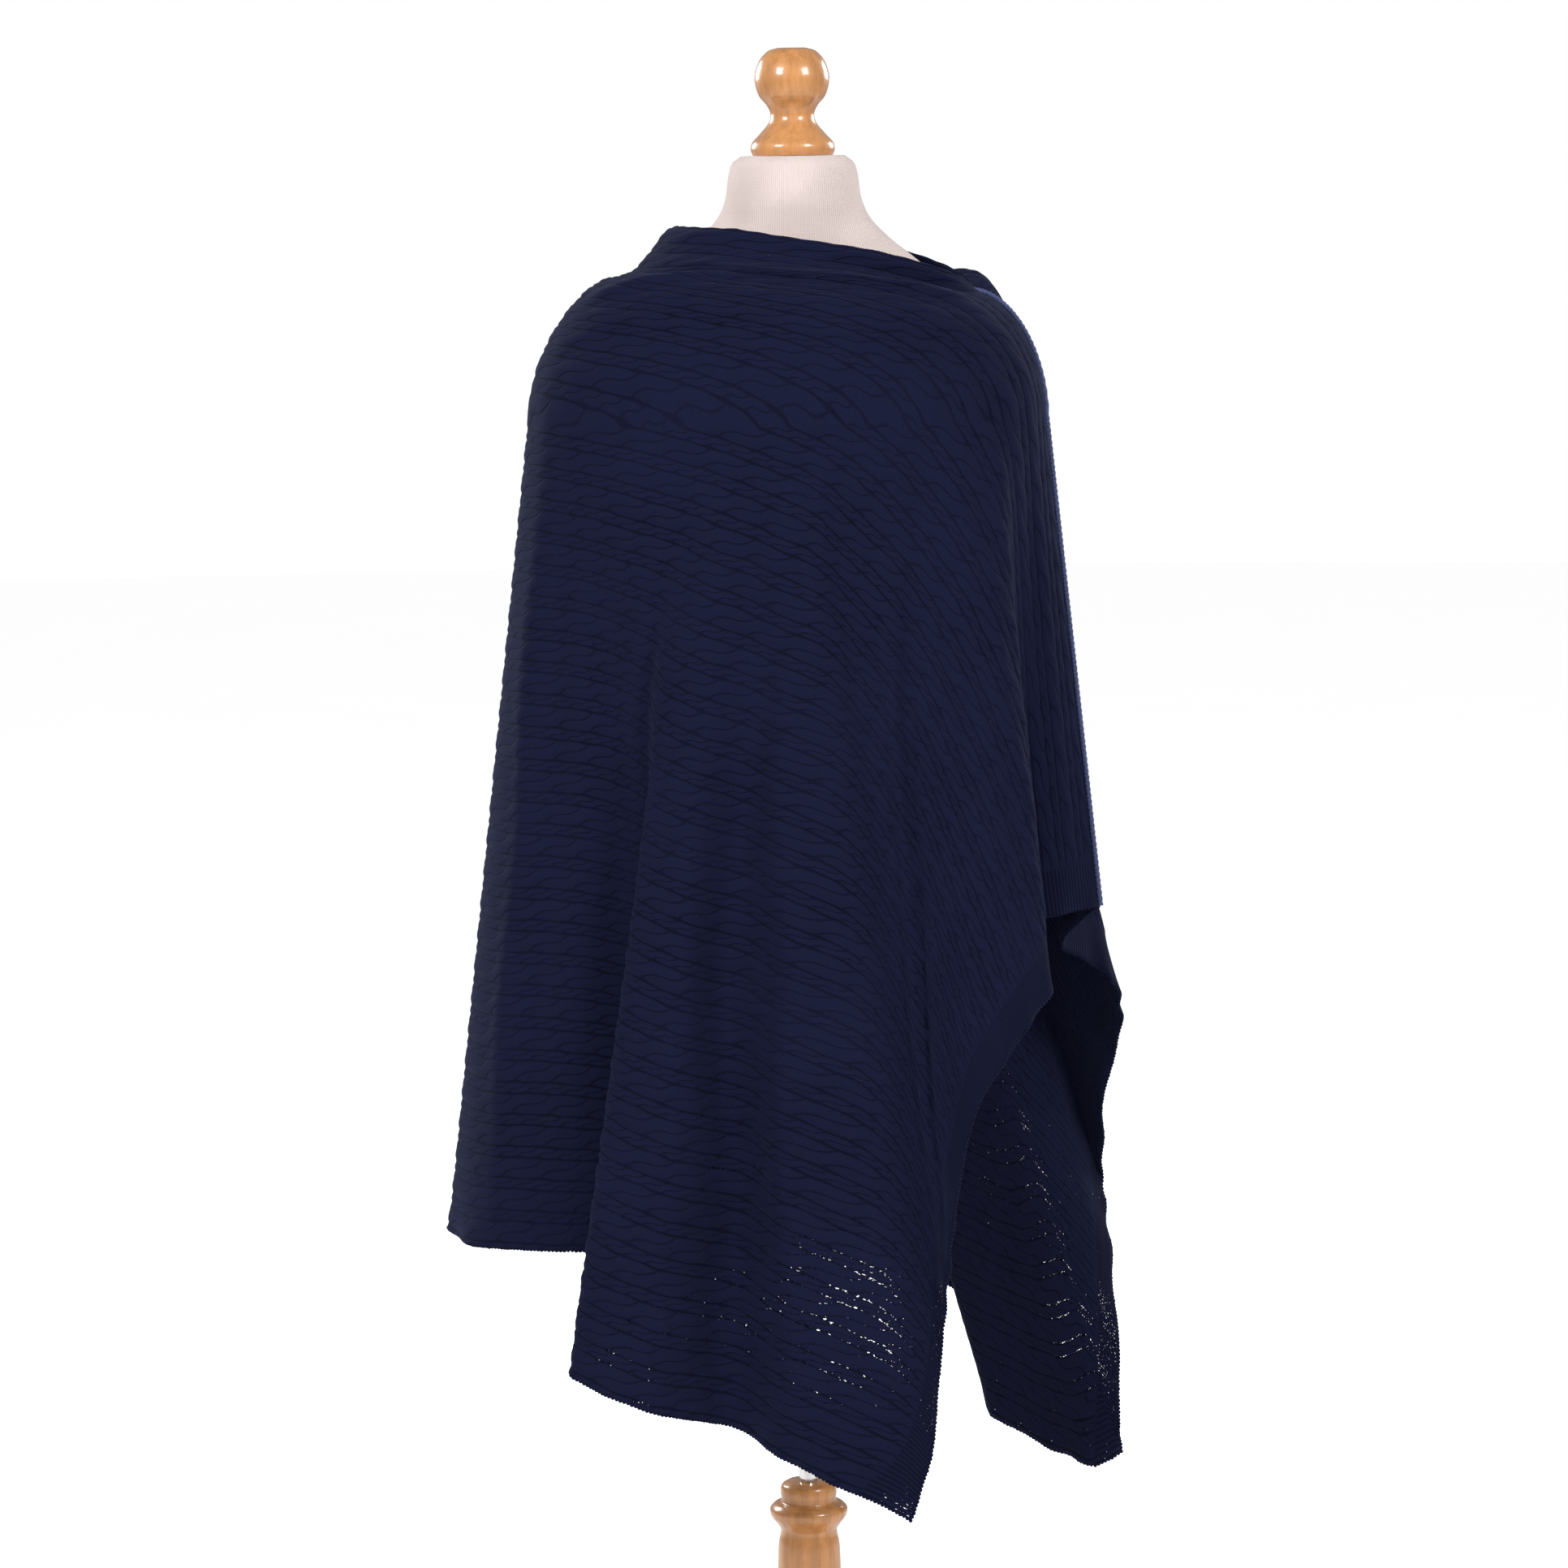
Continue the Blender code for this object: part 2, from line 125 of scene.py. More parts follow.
# Folds: the fall line's angle, where it reaches the hem, the drop at which it leaves the ring, and its ease
FOLDS = (
    # angle, hem x, hem y, starts at, ease
    (-90.0, 0.2525, -0.030, 0.00, 1.0),
    (-83.0, 0.2380, -0.020, 0.00, 1.0),
    (-77.0, 0.2240, -0.004, 0.00, 1.0),
    (-72.0, 0.2480, 0.024, 0.00, 1.0),
    (-66.0, 0.2720, 0.044, 0.00, 1.0),
    (-60.0, 0.2790, 0.072, 0.00, 1.0),
    (-54.0, 0.2660, 0.098, 0.00, 1.0),
    (-48.0, 0.2660, 0.132, 0.00, 1.0),
    (-43.0, 0.2740, 0.098, 0.00, 1.0),
    (-38.0, 0.2760, 0.072, 0.00, 1.0),
    (-34.5, 0.2220, 0.108, 0.00, 1.0),
    (-31.0, 0.1680, 0.140, 0.00, 1.0),
    (-27.0, 0.1640, 0.190, 0.00, 1.0),
    (-23.0, 0.0850, 0.202, 0.00, 1.0),
    (-19.0, 0.0150, 0.176, 0.00, 1.0),
    (-14.0, -0.0700, 0.192, 0.00, 1.0),
    (-9.0, -0.1700, 0.170, 0.00, 1.0),
    (-5.0, -0.2550, 0.115, 0.00, 1.0),
    (0.0, -0.3080, 0.020, 0.00, 1.0),
    (4.0, -0.2750, -0.070, 0.00, 1.0),
    (9.0, -0.1950, -0.108, 0.00, 1.0),
    (13.0, -0.1300, -0.108, 0.05, 1.0),
    (17.0, -0.0850, -0.130, 0.10, 1.2),
    (21.0, -0.1300, -0.152, 0.10, 1.1),
    (25.0, -0.1980, -0.172, 0.10, 1.0),
    (29.0, -0.1360, -0.200, 0.05, 1.0),
    (32.5, -0.0640, -0.166, 0.10, 1.0),
    (35.5, 0.0050, -0.205, 0.05, 1.0),
    (38.0, 0.0860, -0.208, 0.00, 1.0),
    (43.5, 0.1120, -0.180, 0.10, 1.0),
    (50.0, 0.1240, -0.188, 0.10, 1.0),
    (57.0, 0.1430, -0.178, 0.05, 1.0),
    (61.0, 0.1670, -0.168, 0.00, 1.0),
    (65.0, 0.1900, -0.154, 0.00, 1.0),
    (69.0, 0.2060, -0.130, 0.00, 1.0),
    (74.0, 0.1640, -0.104, 0.00, 1.0),
    (80.0, 0.1820, -0.070, 0.00, 1.0),
    (85.0, 0.2240, -0.056, 0.00, 1.0),
    (90.0, 0.2525, -0.030, 0.00, 1.0),
)

# Soft creases, listed: middle in the flat cloth, direction from the u axis, half sizes, height (less is a dip)
CREASES = (
    # u, v, direction, half length, half width, height
    (0.046, 0.20, 92.0, 0.115, 0.011, 0.0065),
    (0.100, 0.088, 126.0, 0.060, 0.012, 0.0060),
    (0.020, 0.20, 90.0, 0.110, 0.010, -0.0045),
    (0.160, 0.14, 118.0, 0.090, 0.014, -0.0035),
    (0.74, 0.57, 34.4, 0.280, 0.022, -0.0120),
    (0.60, 0.538, 33.9, 0.380, 0.014, 0.0060),
    (0.40, 0.62, 42.7, 0.280, 0.014, -0.0065),
    (0.46, 0.640, 42.7, 0.240, 0.013, 0.0035),
    (0.19, 0.61, 72.0, 0.110, 0.012, 0.0040),
    (0.24, 0.56, 62.0, 0.140, 0.012, -0.0032),
    (0.58, 0.068, 3.0, 0.320, 0.013, 0.0034),
    (0.60, 0.110, 3.0, 0.300, 0.012, -0.0034),
    (0.55, 0.245, 8.0, 0.280, 0.014, -0.0034),
    (0.30, 0.34, 28.0, 0.150, 0.012, -0.0026),
    (0.85, 0.74, 36.0, 0.120, 0.012, -0.0040),
    (0.046, -0.18, 88.0, 0.110, 0.011, 0.0050),
    (0.022, -0.20, 90.0, 0.110, 0.010, -0.0035),
    (0.70, -0.50, -30.0, 0.280, 0.022, -0.0100),
    (0.58, -0.40, -27.0, 0.340, 0.014, 0.0045),
    (0.42, -0.58, -40.0, 0.250, 0.012, -0.0040),
    (0.56, -0.10, -5.0, 0.300, 0.013, 0.0034),
    (0.62, -0.22, -13.0, 0.280, 0.014, -0.0036),
    (0.20, -0.60, -70.0, 0.120, 0.012, 0.0036),
)

# Rope cables: half the distance the strands swing, half a strand's width, length of one crossing, share of the height
WIDE_ROPE = (0.0038, 0.0053, 0.039, 1.0)
NARROW_ROPE = (0.0018, 0.0027, 0.020, 0.72)
STRAND_SPREAD = 0.7
GROUND = 0.3
RIB_BAND = 0.04

# Grid of the outer face, both odd
CLOTH_COLUMNS = 353
CLOTH_ROWS = 205

# Dress form: level sections from the underside to the top of the neck
FORM_SECTIONS = (
    # height, half width, half depth, centre y
    (0.688, 0.150, 0.082, 0.006),
    (0.694, 0.168, 0.100, 0.006),
    (0.708, 0.179, 0.112, 0.006),
    (0.740, 0.183, 0.118, 0.006),
    (0.830, 0.180, 0.116, 0.006),
    (0.930, 0.155, 0.104, 0.002),
    (1.010, 0.136, 0.096, -0.002),
    (1.100, 0.147, 0.104, -0.004),
    (1.190, 0.163, 0.112, -0.004),
    (1.260, 0.174, 0.106, 0.000),
    (1.318, 0.178, 0.092, 0.006),
    (1.344, 0.169, 0.080, 0.007),
    (1.360, 0.154, 0.071, 0.007),
    (1.374, 0.133, 0.066, 0.006),
    (1.388, 0.112, 0.063, 0.005),
    (1.400, 0.097, 0.062, 0.006),
    (1.412, 0.082, 0.060, 0.004),
    (1.430, 0.065, 0.057, 0.002),
    (1.446, 0.058, 0.055, 0.000),
    (1.466, 0.055, 0.053, 0.000),
    (1.476, 0.052, 0.050, 0.000),
    (1.4825, 0.044, 0.043, 0.000),
)

KNOB_BASE = 1.4828
KNOB_PROFILE = (
    # radius, height above the knob's base
    (0.012, 0.0905),
    (0.020, 0.0880),
    (0.0275, 0.0800),
    (0.0314, 0.0690),
    (0.0314, 0.0610),
    (0.0280, 0.0500),
    (0.0215, 0.0420),
    (0.0186, 0.0350),
    (0.0200, 0.0280),
    (0.0280, 0.0180),
    (0.0350, 0.0100),
    (0.0357, 0.0050),
    (0.0340, 0.0000),
)
COLUMN_PROFILE = (
    # radius, height
    (0.0190, 0.3300),
    (0.0235, 0.3270),
    (0.0248, 0.3200),
    (0.0240, 0.3130),
    (0.0300, 0.3105),
    (0.0340, 0.3060),
    (0.0330, 0.3000),
    (0.0280, 0.2930),
    (0.0250, 0.2880),
    (0.0250, 0.2840),
    (0.0267, 0.2760),
    (0.0280, 0.2400),
    (0.0300, 0.1500),
    (0.0285, 0.0800),
    (0.0300, 0.0480),
)
BASE_PROFILE = (
    # radius, height
    (0.0420, 0.0477),
    (0.0500, 0.0440),
    (0.0560, 0.0360),
    (0.1000, 0.0290),
    (0.1600, 0.0240),
    (0.1760, 0.0200),
    (0.1800, 0.0120),
    (0.1780, 0.0000),
)

# Camera
LENS = 121.23
SENSOR = 36.0
CAMERA_DISTANCE = 4.55
CAMERA_ELEVATION = 7.0
CAMERA_ROLL = 0.7
CAMERA_TARGET = (-0.014, 0.0, 0.945)


# The cloth's surface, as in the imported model


def fold_columns():
    """The fold table as arrays, one for each column."""
    table = np.array(FOLDS)
    return np.radians(table[:, 0]), table[:, 1:3], table[:, 3], table[:, 4]


def hem_drop(angle):
    """How far the fall line at this angle drops before it meets an edge of the rectangle."""
    to_bottom = PANEL_WIDTH / np.maximum(np.cos(angle), 1e-6) - RING_U
    to_end = HALF_LENGTH / np.maximum(np.abs(np.sin(angle)), 1e-6) - RING_V
    return np.minimum(to_bottom, to_end)


def ring_length(angle, drop):
    """Cloth length along the ring from the shoulder fold to this fall line."""
    swing = np.sin(2 * angle) / 4
    return RING_U * (angle / 2 - swing) + RING_V * (angle / 2 + swing) + drop * angle


@functools.lru_cache(maxsize=None)
def ring_ellipse():
    """Places on the ring as a dense curve, with the share of its length from back seam to front seam."""
    turn = np.linspace(0.0, 2 * math.pi, 721)
    x = RING_CENTRE_X + RING_HALF_WIDTH * np.cos(turn)
    y = RING_HALF_DEPTH * np.sin(turn)
    steps = np.hypot(np.diff(x), np.diff(y))
    share = np.concatenate([[0.0], np.cumsum(steps)]) / steps.sum()
    return x, y, share


def plain_ring(angle):
    """Place of a fall line on the ring, before it leaves for its fold."""
    x, y, share = ring_ellipse()
    place = (ring_length(angle, 0.0) / ring_length(math.pi / 2, 0.0) + 1) / 2
    return np.stack([np.interp(place, share, x), np.interp(place, share, y)], -1)


def fold_places(drop):
    """Plan position of every table line at each drop."""
    angle, hem, start, ease = fold_columns()
    top = plain_ring(angle)
    share = (drop[:, None] - start) / (hem_drop(angle) - start)
    share = np.clip(share, 0.0, 1.15) ** ease
    return top + (hem - top) * share[..., None]


def hanging_plan(angle, drop):
    """Plan position on the hanging cloth: a smooth closed curve through the table lines."""
    lines = fold_columns()[0]
    count = len(lines) - 1
    places = fold_places(drop)[:, :count]
    lengths = ring_length(lines[None, :], drop[:, None])
    total = lengths[:, -1] - lengths[:, 0]
    here = ring_length(angle, drop)
    cell = np.clip(np.searchsorted(lines, angle, side="right") - 1, 0, count - 1)
    rows = np.arange(len(angle))

    def knot(shift):
        index = cell + shift
        wrapped = index % count
        return places[rows, wrapped], lengths[rows, wrapped] + (index // count) * total

    (before, s_before), (first, s_first), (second, s_second), (after, s_after) = (knot(k) for k in (-1, 0, 1, 2))
    span = s_second - s_first
    t = ((here - s_first) / span)[:, None]
    tangent_a = (second - before) / (s_second - s_before)[:, None] * span[:, None]
    tangent_b = (after - first) / (s_after - s_first)[:, None] * span[:, None]
    return (
        (2 * t**3 - 3 * t**2 + 1) * first
        + (t**3 - 2 * t**2 + t) * tangent_a
        + (3 * t**2 - 2 * t**3) * second
        + (t**3 - t**2) * tangent_b
    )


def neckline_point(place):
    """The neckline in space; place runs from -1 (back seam end) over 0 (shoulder fold) to 1 (front seam end)."""
    table = np.array(NECKLINE)
    turn = (place + 1) * math.pi
    depth = np.where(place < 0, NECK_BACK_DEPTH, NECK_FRONT_DEPTH)
    x = NECK_CENTRE_X + NECK_HALF_WIDTH * np.cos(turn)
    return x, depth * np.sin(turn), np.interp(place, table[:, 0], table[:, 1])


def shoulder_point(angle, share):
    """The cloth between the neckline (share 0) and the ring (share 1)."""
    neck_x, neck_y, neck_z = neckline_point(np.sin(angle))
    ring = hanging_plan(angle, np.zeros_like(angle))
    reach = np.clip(share, 0.0, 1.0)
    away = 1 - (1 - reach) ** 1.25
    fold = NECK_FOLD_RISE * np.exp(-(((reach - 0.55) / 0.18) ** 2)) * np.clip(np.sin(angle * 2), 0, 1) ** 2
    height = neck_z - RING_HEIGHT
    z = RING_HEIGHT + height * (1 - away**SHOULDER_ROUND) ** (1 / SHOULDER_ROUND)
    z = z + COWL_RISE * np.exp(-((reach / COWL_REACH) ** 2)) * np.cos(angle) ** 2
    z = z - COWL_DIP * np.exp(-(((reach - 0.26) / 0.14) ** 2)) * np.cos(angle) ** 6
    turned = np.degrees(angle)
    behind = np.exp(-(((turned + 68) / 15) ** 2)) * (1 - np.exp(-(((turned + 90) / 8) ** 2)))
    z = z + BACK_SHOULDER_RISE * np.exp(-(((reach - 0.42) / 0.25) ** 2)) * behind
    x = neck_x + (ring[:, 0] - neck_x) * away
    y = neck_y + (ring[:, 1] - neck_y) * away - fold
    return np.stack([x, y, z], -1)


def cloth_point(angle, drop):
    """A point of the cloth: drop from -1 to 0 goes from neckline to ring, and above 0 it is metres below the ring."""
    angle = (angle + math.pi / 2) % math.pi - math.pi / 2
    low = np.maximum(drop, 0.0)
    table = np.array(LIFT)
    lift = np.interp(np.degrees(angle), table[:, 0], table[:, 1])
    hanging = np.column_stack([hanging_plan(angle, low), RING_HEIGHT - low * lift])
    shoulder = shoulder_point(angle, np.clip(drop + 1, 0.0, 1.0))
    return np.where((drop < 0)[:, None], shoulder, hanging)


def flat_to_fan(u, v):
    """The fall line's angle and the drop of a flat point, by halving."""
    sign = np.where(v < 0, -1.0, 1.0)
    v = np.abs(v)
    above = (u / RING_U) ** 2 + (v / RING_V) ** 2 < 1
    low = np.zeros_like(u)
    high = np.full_like(u, math.pi / 2)

    def ray(angle):
        ring_u = RING_U * np.cos(angle)
        ring_v = RING_V * np.sin(angle)
        neck_v = NECK_HALF * np.sin(angle)
        along_u = np.where(above, ring_u, np.cos(angle))
        along_v = np.where(above, ring_v - neck_v, np.sin(angle))
        return np.where(above, 0.0, ring_u), np.where(above, neck_v, ring_v), along_u, along_v

    for _ in range(40):
        middle = (low + high) / 2
        base_u, base_v, along_u, along_v = ray(middle)
        beyond = along_u * (v - base_v) - along_v * (u - base_u) > 0
        low = np.where(beyond, middle, low)
        high = np.where(beyond, high, middle)
    angle = (low + high) / 2
    base_u, base_v, along_u, along_v = ray(angle)
    reach = ((u - base_u) * along_u + (v - base_v) * along_v) / (along_u**2 + along_v**2)
    drop = np.where(above, np.clip(reach, 0, 1) - 1, np.maximum(reach, 0.0))
    return angle * sign, drop


def cloth_frame(u, v):
    """Point and outward direction on the cloth at flat points."""
    angle, drop = flat_to_fan(u, v)
    step = 0.004
    point = cloth_point(angle, drop)
    around = cloth_point(angle + step, drop) - cloth_point(angle - step, drop)
    down = cloth_point(angle, drop + step) - cloth_point(angle, np.clip(drop - step, -1, None))
    out = np.cross(down, around)
    return point, out / np.linalg.norm(out, axis=1)[:, None]


# The knit's relief


def rope_height(across, along, rope):
    """Height of a two-strand rope cable, 0 to its share of the full height."""
    swing, radius, pitch, share = rope
    turn = math.pi * along / pitch
    centre = swing * np.cos(turn)
    half = radius + STRAND_SPREAD * (swing - np.abs(centre))
    lift = 0.82 + 0.18 * np.sin(turn)
    first = np.sqrt(np.clip(1 - ((across - centre) / half) ** 2, 0, None)) * lift
    second = np.sqrt(np.clip(1 - ((across + centre) / half) ** 2, 0, None)) * (1.64 - lift)
    return share * np.maximum(first, second)


def knit_relief(u, v, height):
    """Height of the cables over the wall, level in the ribbed ends."""
    place = u / REPEAT
    wide = rope_height((place % 1 - 0.5) * REPEAT, v, WIDE_ROPE)
    narrow = rope_height(((place + 0.5) % 1 - 0.5) * REPEAT, v, NARROW_ROPE)
    band = np.clip((HALF_LENGTH - RIB_BAND - np.abs(v)) / 0.006, 0, 1)
    return height * (GROUND + (np.maximum(np.maximum(wide, narrow), GROUND) - GROUND) * band)


def crease_relief(u, v):
    """Height of the listed soft creases."""
    total = np.zeros_like(u)
    for mid_u, mid_v, direction, half_length, half_width, height in CREASES:
        cos = math.cos(math.radians(direction))
        sin = math.sin(math.radians(direction))
        along = (u - mid_u) * cos + (v - mid_v) * sin
        across = (v - mid_v) * cos - (u - mid_u) * sin + 0.004 * np.sin(along * 21 + mid_u * 40)
        total += height * np.exp(-((across / half_width) ** 2) - (along / half_length) ** 4)
    to_hem = PANEL_WIDTH - u
    to_end = HALF_LENGTH - np.abs(v)
    total += 0.0022 * np.exp(-to_hem / 0.014) * np.sin(v * 96 + 2 * np.sin(v * 23))
    total += 0.0016 * np.exp(-to_end / 0.012) * np.sin(u * 82 + 2 * np.sin(u * 19))
    curl = np.where(v < 0, 0.012, 0.003)
    return total + curl * np.exp(-(to_hem**2 + to_end**2) / 0.022**2)


# Mesh helpers


def new_piece(name, verts, faces, material, uv=None, flat_faces=0):
    """A smooth mesh object at the origin; the last flat_faces faces stay flat. uv gives a value for each vertex."""
    mesh = bpy.data.meshes.new(name)
    mesh.from_pydata(np.asarray(verts, dtype=float).tolist(), [], faces)
    smooth = np.ones(len(mesh.polygons), dtype=bool)
    if flat_faces:
        smooth[-flat_faces:] = False
    mesh.polygons.foreach_set("use_smooth", smooth)
    if uv is not None:
        layer = mesh.uv_layers.new(name="flat")
        corner = np.empty(len(mesh.loops), dtype=np.int32)
        mesh.loops.foreach_get("vertex_index", corner)
        layer.data.foreach_set("uv", np.asarray(uv, dtype=np.float32)[corner].ravel())
    mesh.materials.append(material)
    mesh.update()
    obj = bpy.data.objects.new(name, mesh)
    bpy.context.scene.collection.objects.link(obj)
    return obj


def smooth_rows(table, steps):
    """More rows through a table of rows, as a smooth curve by the distance between them."""
    rows = np.array(table, dtype=float)
    gaps = np.sqrt(np.linalg.norm(np.diff(rows, axis=0), axis=1))
    place = np.concatenate([[0.0], np.cumsum(gaps)])
    slope = np.gradient(rows, place, axis=0)
    dense = []
    for k in range(len(rows) - 1):
        span = place[k + 1] - place[k]
        for t in np.arange(steps) / steps:
            dense.append(
                (2 * t**3 - 3 * t**2 + 1) * rows[k]
                + (t**3 - 2 * t**2 + t) * span * slope[k]
                + (3 * t**2 - 2 * t**3) * rows[k + 1]
                + (t**3 - t**2) * span * slope[k + 1]
            )
    dense.append(rows[-1])
    return np.array(dense)


def loft(name, rings, around, material):
    """A closed solid through level rings of (height, half width, half depth, centre y), going up."""
    rings = np.asarray(rings)
    turn = 2 * math.pi * np.arange(around + 1) / around
    x = rings[:, 1:2] * np.cos(turn)
    y = rings[:, 3:4] + rings[:, 2:3] * np.sin(turn)
    z = np.repeat(rings[:, :1], around, axis=1)
    verts = np.stack([x[:, :around], y[:, :around], z], -1).reshape(-1, 3)
    rows = len(rings)
    faces = []
    for r in range(rows - 1):
        for k in range(around):
            nxt = (k + 1) % around
            faces.append((r * around + k, r * around + nxt, (r + 1) * around + nxt, (r + 1) * around + k))
    bottom = len(verts)
    verts = np.vstack([verts, [(0, rings[0, 3], rings[0, 0])], [(0, rings[-1, 3], rings[-1, 0])]])
    for k in range(around):
        nxt = (k + 1) % around
        faces.append((bottom, nxt, k))
        faces.append((bottom + 1, (rows - 1) * around + k, (rows - 1) * around + nxt))
    return new_piece(name, verts, faces, material)


def turned(name, profile, base, steps, material):
    """A turned piece about the Z axis from its outer profile, given from the top down."""
    rows = smooth_rows(profile, steps)[::-1]
    rings = np.column_stack([rows[:, 1] + base, rows[:, 0], rows[:, 0], np.zeros(len(rows))])
    return loft(name, rings, 96, material)


# Materials


class MaterialNodes:
    """A new node material and short ways to add to its tree."""

    def __init__(self, name):
        self.material = bpy.data.materials.new(name)
        self.material.use_nodes = True
        self.tree = self.material.node_tree
        self.shader = self.tree.nodes["Principled BSDF"]

    def put(self, socket, value):
        """Set an input, or link it when the value is another node's output."""
        if isinstance(value, bpy.types.NodeSocket):
            self.tree.links.new(value, socket)
        else:
            socket.default_value = value

    def finish(self, **values):
        """Set the shader's own inputs."""
        for name, value in values.items():
            self.put(self.shader.inputs[name.replace("_", " ")], value)

    def math(self, operation, *values, clamp=False):
        """One Math node."""
        node = self.tree.nodes.new("ShaderNodeMath")
        node.operation = operation
        node.use_clamp = clamp
        for socket, value in zip(node.inputs, values):
            self.put(socket, value)
        return node.outputs[0]

    def coordinates(self, scale=(1, 1, 1), flat=False):
        """Object coordinates, or the piece's own flat map, scaled."""
        if flat:
            source = self.tree.nodes.new("ShaderNodeUVMap")
            source.uv_map = "flat"
            output = source.outputs["UV"]
        else:
            source = self.tree.nodes.new("ShaderNodeTexCoord")
            output = source.outputs["Object"]
        mapping = self.tree.nodes.new("ShaderNodeMapping")
        mapping.inputs["Scale"].default_value = scale
        self.tree.links.new(output, mapping.inputs["Vector"])
        return mapping.outputs[0]

    def parts(self, vector):
        """The x, y and z of a vector."""
        node = self.tree.nodes.new("ShaderNodeSeparateXYZ")
        self.tree.links.new(vector, node.inputs[0])
        return node.outputs

    def noise(self, vector, scale, detail=2.0, roughness=0.5):
        """Noise from 0 to 1."""
        node = self.tree.nodes.new("ShaderNodeTexNoise")
        self.tree.links.new(vector, node.inputs["Vector"])
        node.inputs["Scale"].default_value = scale
        node.inputs["Detail"].default_value = detail
        node.inputs["Roughness"].default_value = roughness
        return node.outputs["Fac"]

    def ranged(self, value, low, high, to_low=0.0, to_high=1.0):
        """A value carried smoothly from one range to another."""
        node = self.tree.nodes.new("ShaderNodeMapRange")
        node.interpolation_type = "SMOOTHSTEP"
        for name, number in (("From Min", low), ("From Max", high), ("To Min", to_low), ("To Max", to_high)):
            node.inputs[name].default_value = number
        self.tree.links.new(value, node.inputs["Value"])
        return node.outputs["Result"]

    def mixed(self, share, first, second):
        """A colour between two."""
        node = self.tree.nodes.new("ShaderNodeMix")
        node.data_type = "RGBA"
        self.put(node.inputs[0], share)
        self.put(node.inputs[6], first)
        self.put(node.inputs[7], second)
        return node.outputs[2]

    def bump(self, height, strength=1.0):
        """A normal from a height in metres."""
        node = self.tree.nodes.new("ShaderNodeBump")
        node.inputs["Strength"].default_value = strength
        node.inputs["Distance"].default_value = 1.0
        self.tree.links.new(height, node.inputs["Height"])
        return node.outputs["Normal"]

    def rope(self, across, along, rope):
        """Height of a rope cable and the crease between its strands, as the mesh has them."""
        swing, radius, pitch, share = rope
        turn = self.math("MULTIPLY", along, math.pi / pitch)
        centre = self.math("MULTIPLY", self.math("COSINE", turn), swing)
        slack = self.math("SUBTRACT", swing, self.math("ABSOLUTE", centre))
        half = self.math("MULTIPLY_ADD", slack, STRAND_SPREAD, radius)
        lift = self.math("MULTIPLY_ADD", self.math("SINE", turn), 0.18, 0.82)
        strands = []
        for side, height in (("SUBTRACT", lift), ("ADD", self.math("SUBTRACT", 1.64, lift))):
            away = self.math("DIVIDE", self.math(side, across, centre), half)
            round_top = self.math("MAXIMUM", self.math("SUBTRACT", 1.0, self.math("MULTIPLY", away, away)), 0.0)
            strands.append(self.math("MULTIPLY", self.math("SQRT", round_top), height))
        top = self.math("MULTIPLY", self.math("MAXIMUM", *strands), share)
        difference = self.math("ABSOLUTE", self.math("SUBTRACT", *strands))
        return top, difference


def scaled(colour, share):
    """A darker or lighter version of a colour."""
    return tuple(min(c * share, 1.0) for c in colour[:3]) + (1.0,)


